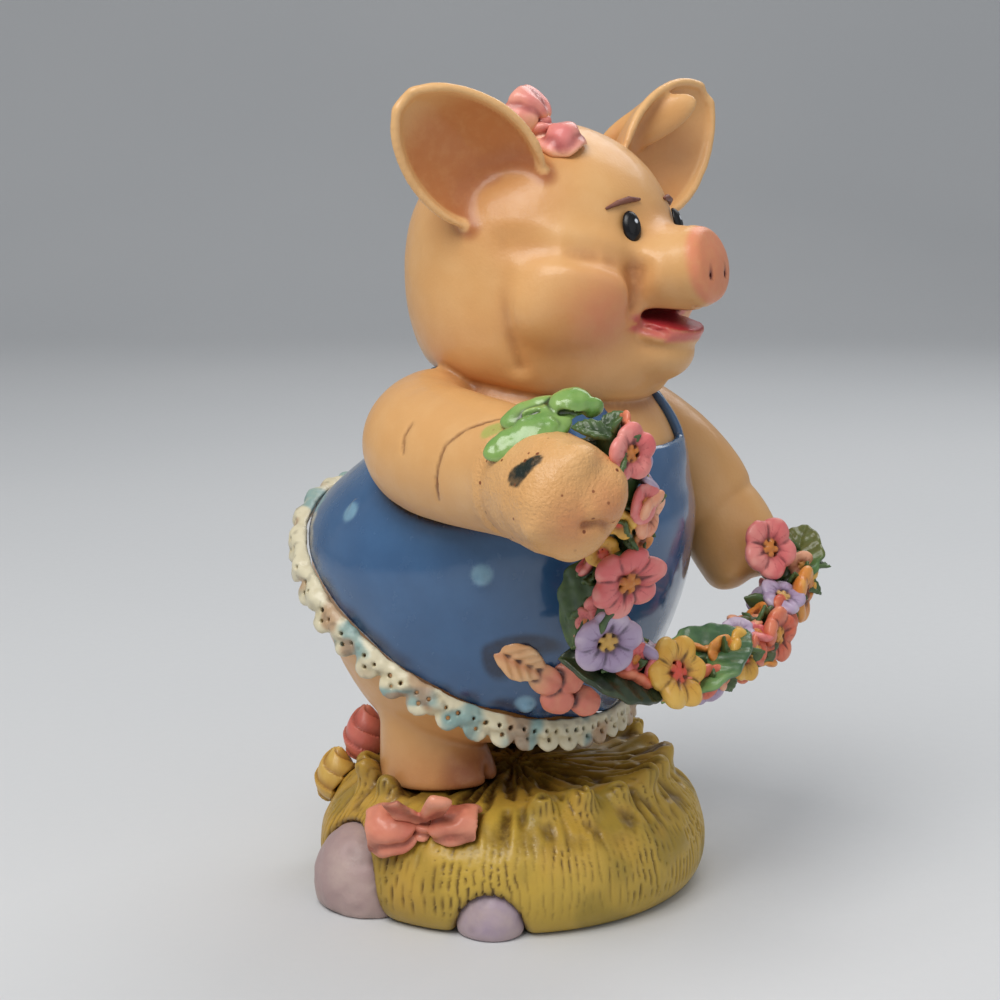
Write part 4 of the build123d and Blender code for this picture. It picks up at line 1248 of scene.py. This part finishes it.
# The leaf on the near hand: the way its face looks, its long way, its blades and the slots between
# them. A blade has two ends, in millimetres from the leaf's middle, a half width and a half thickness.
HAND_LEAF_FACING = (-0.63, -0.36, 0.68)
HAND_LEAF_ALONG = (0.45, -0.8, 0.4)
HAND_BLADES = (
    ((-8.6, 5.4, -3.3), (-3.2, -1.6, 0.7), 2.5, 1.2),
    ((-3.3, 5.9, 0.5), (0.6, -1.8, 3.0), 2.5, 1.1),
    ((-5.6, 2.4, 0.0), (-0.6, -2.6, 1.4), 3.0, 1.0),
    ((-1.2, -0.4, 2.8), (2.3, -4.5, 3.8), 2.5, 1.3),
    ((1.7, -4.6, 3.8), (2.4, -5.3, 1.4), 1.6, 1.0),
)
HAND_SLOTS = (((-5.4, 4.4, 0.7), (-3.0, 0.9, 2.4)), ((-1.6, -2.0, 2.2), (0.2, -4.2, 1.8)))
# Round petals of the spray: shares of its half length and half width from its middle, tilt and turn
SPRAY_PETALS = (
    (0.05, -0.1, 0.3, 0.25), (0.38, 0.3, 0.5, -0.3), (0.42, -0.55, 0.2, 0.5), (0.85, -0.2, 0.4, 0.1)
)
# Way out of the garland toward the pig's near side
NEAR_SIDE = np.array([-0.85, -0.5, 0.17])
FILLER_KINDS = ("peach", "lilac", "yellow", "coral", "pink", "orange")
# Each leaf's base, its light patches and ribs, and its far half
LEAF_GREENS = {
    "leaf_upper": ((0.16, 0.26, 0.14), (0.38, 0.48, 0.26), (0.24, 0.34, 0.18)),
    "leaf_belly": ((0.30, 0.45, 0.22), (0.52, 0.62, 0.36), (0.14, 0.26, 0.18)),
    "leaf_low": ((0.10, 0.15, 0.10), (0.30, 0.36, 0.22), (0.14, 0.20, 0.14)),
    "leaf_middle": ((0.40, 0.58, 0.33), (0.60, 0.72, 0.46), (0.14, 0.28, 0.20)),
    "leaf_far_low": ((0.22, 0.34, 0.18), (0.46, 0.54, 0.32), (0.30, 0.30, 0.20)),
    "leaf_far_end": ((0.24, 0.42, 0.22), (0.46, 0.58, 0.34), (0.40, 0.38, 0.16)),
}


def lie_of(name):
    """A node's middle, the way its face looks, its longest way, and its half size along and across."""
    points, _ = node_shape(name)
    middle = (points.min(0) + points.max(0)) / 2
    long_way, wide_way, thin_way = main_ways(points)
    facing = thin_way * np.sign(thin_way @ (middle - centre_of("trunk")))
    along = long_way * np.sign(long_way @ TO_THE_LEFT)
    spread = points - points.mean(0)
    half_long = np.abs(spread @ long_way).max()
    half_wide = np.abs(spread @ wide_way).max()
    return middle.astype(float), facing.astype(float), along.astype(float), half_long, half_wide


# How many petals each large flower has, and its kind
FLOWERS = {
    "flower_pink_top": (5, "pink"),
    "flower_peach_high": (5, "peach"),
    "flower_pink_large": (6, "pink"),
    "flower_lilac_large": (5, "lilac"),
    "flower_coral_middle": (5, "coral"),
    "flower_yellow_large": (6, "yellow"),
    "flower_lilac_low": (5, "lilac"),
    "flower_coral_high": (5, "coral"),
    "flower_yellow_middle": (5, "yellow"),
    "flower_coral_low": (5, "coral"),
    "flower_lilac_far": (5, "lilac"),
    "flower_yellow_far": (5, "orange"),
    "flower_pink_far": (5, "pink"),
}
# The slot name of each kind, then the paint of its petals, their rims, their throat and the heart
BLOOMS = {
    "pink": ("petal_pink", (0.86, 0.42, 0.42), (0.94, 0.70, 0.64), (0.62, 0.16, 0.20), (0.80, 0.50, 0.20)),
    "peach": ("petal_pink", (0.90, 0.58, 0.44), (0.96, 0.80, 0.66), (0.66, 0.25, 0.18), (0.84, 0.60, 0.26)),
    "coral": ("petal_pink", (0.82, 0.38, 0.28), (0.93, 0.62, 0.46), (0.55, 0.14, 0.10), (0.86, 0.62, 0.28)),
    "yellow": (
        "petal_yellow", (0.86, 0.64, 0.24), (0.94, 0.80, 0.44), (0.62, 0.34, 0.12), (0.86, 0.32, 0.26)
    ),
    "orange": (
        "petal_yellow", (0.84, 0.50, 0.20), (0.95, 0.74, 0.40), (0.60, 0.22, 0.10), (0.45, 0.22, 0.08)
    ),
    "lilac": (
        "petal_lilac", (0.66, 0.58, 0.70), (0.86, 0.80, 0.84), (0.40, 0.26, 0.42), (0.84, 0.66, 0.30)
    ),
}

# How far a flower's grid reaches, in its radii, and how many beads stand round its heart
BLOOM_REACH = 1.25
BEADS = 5


def around(facing, along, turn):
    """The way that lies a turn from one way, round another."""
    return along * math.cos(turn) + np.cross(facing, along) * math.sin(turn)


def bloom_form(back, heart, facing, along, radius, petals, chance, step):
    """One flower's form: thick cupped petals, each creased, round a beaded heart."""
    field = Field(back - BLOOM_REACH * radius, back + BLOOM_REACH * radius, step)
    for i in range(petals):
        out = around(facing, along, 2 * math.pi * (i + chance.uniform(-0.08, 0.08)) / petals)
        lean = chance.uniform(0.2, 0.5)
        long_way = out * math.cos(lean) + facing * math.sin(lean)
        up = facing * math.cos(lean) - out * math.sin(lean)
        axes = (long_way, np.cross(facing, out), up)
        centre = back + long_way * radius * 0.54 + facing * chance.uniform(0, 0.1) * radius
        halves = np.array([0.5, 2.5 / petals, 0.25]) * radius
        field.add(lambda p: pebble(p, centre, axes, halves), centre, radius, 0.2 * MM)
        start = back + up * 0.36 * radius
        end = start + long_way * radius * 0.9
        field.cut(lambda p: capsule(p, start, end, 0.15 * radius, 0.05 * radius), centre, radius, 0.4 * MM)
    field.add(lambda p: ball(p, heart, 0.19 * radius), heart, radius, 0.2 * MM)
    for i in range(BEADS):
        bead = heart + (around(facing, along, 2 * math.pi * i / BEADS) * 0.2 + facing * 0.06) * radius
        field.add(lambda p: ball(p, bead, 0.1 * radius), bead, radius / 2, 0.1 * MM)
    return field


def bloom(back, facing, along, radius, petals, chance, step):
    """The surface of one flower and its paint masks."""
    heart = back + facing * 0.28 * radius
    field = bloom_form(back, heart, facing, along, radius, petals, chance, step)
    points, faces, normals = field.surface()
    hollow, _ = hollows(field, points, 0.5 * MM)
    local = points - back
    flat = local - (local @ facing)[:, None] * facing
    out = np.linalg.norm(flat, axis=1) / radius
    turn = np.arctan2(flat @ np.cross(facing, along), flat @ along)
    behind = near(local @ facing, 0.1 * radius) * smooth_step(0.2, -0.6, normals @ facing)
    lines = smooth_step(0.86, 1.0, np.cos(turn * petals * 3 + noise(points, 2 * MM, 46)))
    lines = lines * smooth_step(0.85, 0.4, out) * 0.8
    # Painted shade in the creases and behind the petals
    masks = {
        "hollow": np.clip(smooth_step(0.03, 0.5, hollow) * 0.9 + behind * 0.8, 0, 1),
        "edge": smooth_step(0.6, 1.0, out) * patches_of(points, 1.2, 41, -0.2, 0.6),
        "throat": np.maximum(smooth_step(0.55, 0.22, out), lines),
        "heart": near(ball(points, heart, 0.27 * radius), 0.08 * radius),
    }
    return points + normals * waves(points, PETAL_WAVES)[:, None], faces, masks


def merged(forms):
    """Several surfaces as one: points, faces and masks."""
    starts = np.cumsum([0] + [len(points) for points, _, _ in forms])
    points = np.concatenate([form[0] for form in forms])
    faces = np.concatenate([form[1] + start for form, start in zip(forms, starts)])
    masks = {key: np.concatenate([form[2][key] for form in forms]) for key in forms[0][2]}
    return points, faces, masks


def make_flower(name, petals, kind, materials):
    """One flower of the garland, laid where its CAD node lies."""
    middle, facing, along, half_long, _ = lie_of(name)
    back = middle - facing * 0.25 * half_long
    chance = np.random.default_rng(sum(map(ord, name)))
    form = bloom(back, facing, along, half_long, petals, chance, SMALL_STEP)
    make_piece(name, *form, materials[kind], BLOOMS[kind][0], [name])


def picked(points, triangles, count, chance):
    """Corners and ways out of triangles picked by chance, each as likely as its area is large."""
    corners, normals = triangle_ways(points, triangles)
    areas = np.linalg.norm(normals, axis=1)
    picks = chance.choice(len(areas), count, p=areas / areas.sum())
    return zip(corners[picks], normals[picks])


def is_free(place, flowers, hands, laid):
    """Whether a small bloom fits in: off the large flowers, the hands and the other small blooms."""
    if min(np.linalg.norm(place - middle) / size for middle, size in flowers) <= FLOWER_SHARE:
        return False
    if np.linalg.norm(hands - place, axis=1).min() <= HAND_GAP:
        return False
    return all(np.linalg.norm(place - other) > FILLER_GAP for other in laid)


def make_fillers(materials):
    """Small blooms and buds that fill the garland between its large flowers."""
    points, triangles = node_shape("garland_vine")
    chance = np.random.default_rng(SEED + 1)
    hands = np.concatenate([node_shape("trotter_" + side)[0] for side, _ in SIDES])
    flowers = [(centre_of(name), size_of(name).max() / 2) for name in FLOWERS]
    forms = {kind: [] for kind in FILLER_KINDS}
    laid = []
    for corners, normal in picked(points.astype(float), triangles, 6 * FILLERS, chance):
        shares = chance.dirichlet((1, 1, 1))
        out = unit(normal)
        place = shares @ corners + out * 0.8 * MM
        radius = chance.uniform(*FILLER_RADII) * MM
        if len(laid) == FILLERS or not is_free(place, flowers, hands, laid):
            continue
        laid.append(place)
        facing = unit(out + 0.35 * chance.normal(size=3))
        along = unit(np.cross(facing, chance.normal(size=3)))
        kind = FILLER_KINDS[chance.integers(len(FILLER_KINDS))]
        petals = int(chance.integers(3, 6))
        forms[kind].append(bloom(place, facing, along, radius, petals, chance, FILLER_STEP))
    for kind, own in forms.items():
        if own:
            make_piece("small_blooms_" + kind, *merged(own), materials[kind], BLOOMS[kind][0], [])


def vesica(long_share, wide_share):
    """How far out in a pointed leaf's outline a place is: below 0 inside it."""
    long_share = np.abs(long_share)
    return wide_share - 1 + np.square(np.clip(long_share, 0, 1)) + np.maximum(long_share - 1, 0)


def leaf_into(field, middle, facing, along, half_long, half_wide, thick, salt, teeth_size=0.06):
    """Fuse one leaf on: a pointed outline with a toothed rim, a bent blade and a grooved midrib."""
    across = np.cross(facing, along)

    def shape(points):
        local = points - middle
        a = local @ along / half_long
        b = local @ across / half_wide
        teeth = teeth_size * np.sin(a * 14 + np.abs(b) * 3 + salt)
        outline = vesica(a, np.abs(b) + teeth * (1 - np.abs(a))) * half_wide * 0.7
        bend = -0.18 * half_long * a * a + 0.22 * half_wide * np.abs(b)
        veins = 0.14 * MM * np.sin((a - np.abs(b) * 0.6) * 16)
        level = local @ facing - bend
        groove = 0.3 * MM * np.exp(-np.square(local @ across / (0.4 * MM)))
        slab = np.abs(level) - thick / 2 - (veins - groove) * (level > 0)
        return soft_least(-outline, -slab, 0.5 * MM) * -0.8

    field.add(shape, middle, half_long * 1.3, 0.2 * MM)


def lobed_leaf(name):
    """The broken leaf on the near hand: long blades side by side with dark slots, and a curled end lobe."""
    middle, _, _, half_long, _ = lie_of(name)
    facing = unit(HAND_LEAF_FACING)
    field = Field(middle - 1.6 * half_long, middle + 1.6 * half_long, SMALL_STEP)
    for start, end, half_wide, thick in HAND_BLADES:
        first, last = np.array(start) * MM, np.array(end) * MM
        place = middle + (first + last) / 2
        along = unit(last - first)
        out = unit(facing - along * (facing @ along))
        axes = (along, np.cross(out, along), out)
        halves = np.array([np.linalg.norm(last - first) * 0.56, half_wide * MM, thick * MM])
        field.add(lambda p: pebble(p, place, axes, halves), place, half_long * 1.4, 0.35 * MM)
    for start, end in HAND_SLOTS:
        slot = [middle + np.array(start) * MM, middle + np.array(end) * MM]
        field.cut(lambda p: capsule(p, *slot, 0.5 * MM), slot[0], half_long, 0.3 * MM)
    along = unit(HAND_LEAF_ALONG)
    return field, middle, facing, along, np.cross(facing, along), half_long


def spray_leaf(name):
    """The spray on the skirt: a long pointed petal at its tip and four round ones toward the garland."""
    middle, facing, along, half_long, half_wide = lie_of(name)
    across = np.cross(facing, along)
    across = across * np.sign(across[2])
    field = Field(middle - 1.4 * half_long, middle + 1.4 * half_long, SMALL_STEP)
    long_middle = middle - along * 0.5 * half_long + across * 0.1 * half_wide
    leaf_into(field, long_middle, facing, along, 0.56 * half_long, 0.6 * half_wide, 1.5 * MM, 0, 0.0)
    for along_share, across_share, tilt, turn in SPRAY_PETALS:
        place = middle + along * along_share * half_long + across * across_share * half_wide
        way = unit(along + turn * across)
        out = unit(facing - tilt * way)
        way = unit(way - out * (way @ out))
        axes = (way, np.cross(out, way), out)
        halves = np.array([0.3 * half_long, 0.5 * half_wide, 0.8 * MM])
        field.add(lambda p: pebble(p, place, axes, halves), place, half_long, 0.12 * MM)
    return field, middle, facing, along, across, half_long


def plain_leaf(name):
    """One leaf of the garland."""
    middle, facing, along, half_long, half_wide = lie_of(name)
    middle = middle + NEAR_SIDE * 1.5 * MM
    facing = unit(facing * np.sign(facing @ NEAR_SIDE) + NEAR_SIDE)
    along = unit(along - facing * (along @ facing))
    half_long, half_wide = 1.25 * half_long, 1.4 * half_wide
    field = Field(middle - 1.35 * half_long, middle + 1.35 * half_long, SMALL_STEP)
    leaf_into(field, middle, facing, along, half_long, half_wide, 1.2 * MM, 0)
    return field, middle, facing, along, np.cross(facing, along), half_long


def make_leaf(name, form, material, slot):
    """A leaf or petal piece with its paint masks: its ribs, its far half, painted shade in its hollows and
    on its underside, and painted highlights on its raised edges.
    """
    field, middle, facing, along, across, half_long = form
    points, faces, normals = field.surface()
    hollow, edge = hollows(field, points, 0.5 * MM)
    local = points - middle
    rib = np.exp(-np.square((local @ across) / (0.5 * MM)))
    under = smooth_step(0.1, -0.6, normals @ facing)
    # Painted shade in the hollows and on the underside, and a painted highlight on raised edges in patches
    masks = {
        "hollow": np.clip(smooth_step(0.03, 0.5, hollow) * 0.9 + under * 0.8, 0, 1),
        "edge": smooth_step(0.2, 0.8, edge) * patches_of(points, 1.5, 43, -0.3, 0.5),
        "rib": rib * smooth_step(-0.2, 0.6, normals @ facing),
        "far": smooth_step(-0.25, 0.25, (local @ along) / half_long),
    }
    points = points + normals * waves(points, LEAF_WAVES)[:, None]
    make_piece(name, points, faces, masks, material, slot, [name])


def make_vine(material):
    """The stem under the flowers, hidden by many small leaves and buds that stand out of it."""
    name = "garland_vine"
    low, high = box_of([name])
    field = Field(low - 2.5 * MM, high + 2.5 * MM, THIN_STEP)
    field.values = field.node([name])
    chance = np.random.default_rng(SEED)
    for i, (corners, normal) in enumerate(picked(*node_shape(name), SPROUTS, chance)):
        place = corners.mean(0).astype(float)
        out = unit(normal)
        way = unit(chance.normal(size=3) + out * 0.8)
        facing = unit(out + 0.7 * chance.normal(size=3))
        facing = unit(facing - way * (facing @ way))
        length = chance.uniform(*SPROUT_LENGTHS) * MM
        leaf_into(field, place + way * length * 0.6, facing, way, length, length * 0.55, 0.9 * MM, i)
    points, faces, _ = field.surface()
    hollow, edge = hollows(field, points, 0.8 * MM)
    # Painted shade between the small leaves, and a painted highlight on their raised edges
    masks = {
        "hollow": smooth_step(0.0, 0.5, hollow) * 0.95,
        "edge": smooth_step(0.3, 0.9, edge),
        "rib": patches_of(points, 2.5, 45, 0.2, 0.6),
    }
    make_piece(name, points, faces, masks, material, "leaf", [name])


def leaf_paints():
    """The paint of every leaf and of the spray's petals, by node."""
    paints = {}
    for name, (base, light, far) in LEAF_GREENS.items():
        paints[name] = painted(
            name, base, light, (0.03, 0.05, 0.03), roughness=0.36, coat=0.3,
            layers=(("rib", light, 0.5), ("far", far, 0.8)),
        )
    paints["leaf_hand"] = painted(
        "leaf_hand", (0.42, 0.60, 0.27), (0.66, 0.76, 0.45), (0.06, 0.10, 0.03), roughness=0.25, coat=0.7,
        bump=0.3, patches=0.5, layers=(("rib", (0.34, 0.50, 0.22), 0.4),),
    )
    paints["petal_skirt"] = painted(
        "petal_skirt", (0.86, 0.64, 0.44), (0.93, 0.78, 0.60), (0.22, 0.10, 0.14), roughness=0.35, coat=0.3,
        layers=(("far", (0.84, 0.46, 0.40), 0.9), ("rib", (0.70, 0.34, 0.26), 0.4)),
    )
    return paints


def make_garland():
    """Every flower and leaf, each with its own paint."""
    materials = {}
    for kind, (_, petal, rim, throat, heart) in BLOOMS.items():
        materials[kind] = painted(
            "petal_" + kind, petal, rim, tuple(0.45 * c for c in throat), roughness=0.4, coat=0.2,
            patches=0.5, layers=(("throat", throat, 0.8), ("heart", heart, 0.95)),
        )
    for name, (petals, kind) in FLOWERS.items():
        make_flower(name, petals, kind, materials)
    make_fillers(materials)
    paints = leaf_paints()
    for name in LEAF_GREENS:
        make_leaf(name, plain_leaf(name), paints[name], "leaf")
    make_leaf("leaf_hand", lobed_leaf("leaf_hand"), paints["leaf_hand"], "leaf")
    make_leaf("petal_skirt", spray_leaf("petal_skirt"), paints["petal_skirt"], "petal_pink")
    vine = painted(
        "vine", (0.15, 0.23, 0.13), (0.34, 0.44, 0.24), (0.02, 0.03, 0.03), roughness=0.38, coat=0.25,
        layers=(("rib", (0.28, 0.36, 0.18), 0.6),),
    )
    make_vine(vine)


# Backdrop, lamps and sky, in metres

# The backdrop's half size, where its floor starts to rise, the radius of the rise, and its steps
BACKDROP = 2.4
RISE_START = 0.9
RISE_RADIUS = 0.5
RISE_STEPS = 24
# Each lamp's name, turn from the camera and height in degrees, distance, size, power and tint
LAMPS = (
    ("key", -32.0, 54.0, 0.75, 0.5, 4.4, (1.0, 0.98, 0.95)),
    ("fill", 42.0, 25.0, 0.9, 0.8, 0.9, (0.93, 0.96, 1.0)),
    ("rim", 150.0, 45.0, 0.8, 0.5, 1.8, (1.0, 1.0, 1.0)),
)
# Colour of the even light from all round, and its strength
SKY = (0.78, 0.80, 0.83, 1)
SKY_STRENGTH = 0.44


def make_backdrop():
    """A pale floor that sweeps up behind."""
    profile = [(-BACKDROP, 0.0), (RISE_START, 0.0)]
    for i in range(1, RISE_STEPS + 1):
        turn = math.pi / 2 * i / RISE_STEPS
        profile.append((RISE_START + RISE_RADIUS * math.sin(turn), RISE_RADIUS * (1 - math.cos(turn))))
    profile.append((RISE_START + RISE_RADIUS, BACKDROP))
    away = -np.array(way_from(CAMERA_AZIMUTH, 0.0))[:2]
    across = np.array([away[1], -away[0]])
    points = []
    for along, up in profile:
        for side in (-BACKDROP, BACKDROP):
            points.append((*(away * along + across * side), up))
    faces = [(2 * i, 2 * i + 1, 2 * i + 3, 2 * i + 2) for i in range(len(profile) - 1)]
    mesh = bpy.data.meshes.new("backdrop")
    mesh.from_pydata(points, [], faces)
    for face in mesh.polygons:
        face.use_smooth = True
    paint = Paint("backdrop")
    pale = paint.colour((0.80, 0.81, 0.82))
    colour = paint.over(pale, paint.colour((0.84, 0.845, 0.85)), paint.speckle(0.3, 2.0))
    mesh.materials.append(paint.finish(colour, 0.7, 2 * MM, 0.05))
    backdrop = bpy.data.objects.new("backdrop", mesh)
    bpy.context.scene.collection.objects.link(backdrop)


def make_lamps():
    """Soft lamps round the figurine."""
    for name, turn, rise, distance, size, power, tint in LAMPS:
        way = way_from(CAMERA_AZIMUTH + turn, rise)
        data = bpy.data.lights.new(name, "AREA")
        data.size = size
        data.energy = power
        data.color = tint
        lamp = bpy.data.objects.new(name, data)
        lamp.location = Vector(CAMERA_TARGET) + way * distance
        lamp.rotation_euler = way.to_track_quat("Z", "Y").to_euler()
        bpy.context.scene.collection.objects.link(lamp)


def make_sky():
    """Even pale light from all round."""
    world = bpy.data.worlds.new("world")
    world.use_nodes = True
    background = world.node_tree.nodes["Background"]
    background.inputs["Color"].default_value = SKY
    background.inputs["Strength"].default_value = SKY_STRENGTH
    bpy.context.scene.world = world
    bpy.context.scene.view_settings.view_transform = "Standard"


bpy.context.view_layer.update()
make_camera()
make_backdrop()
make_lamps()
make_sky()
make_skin()
make_dress()
make_frill()
make_grass()
make_stones()
make_bows()
make_buds()
make_eyes()
make_garland()
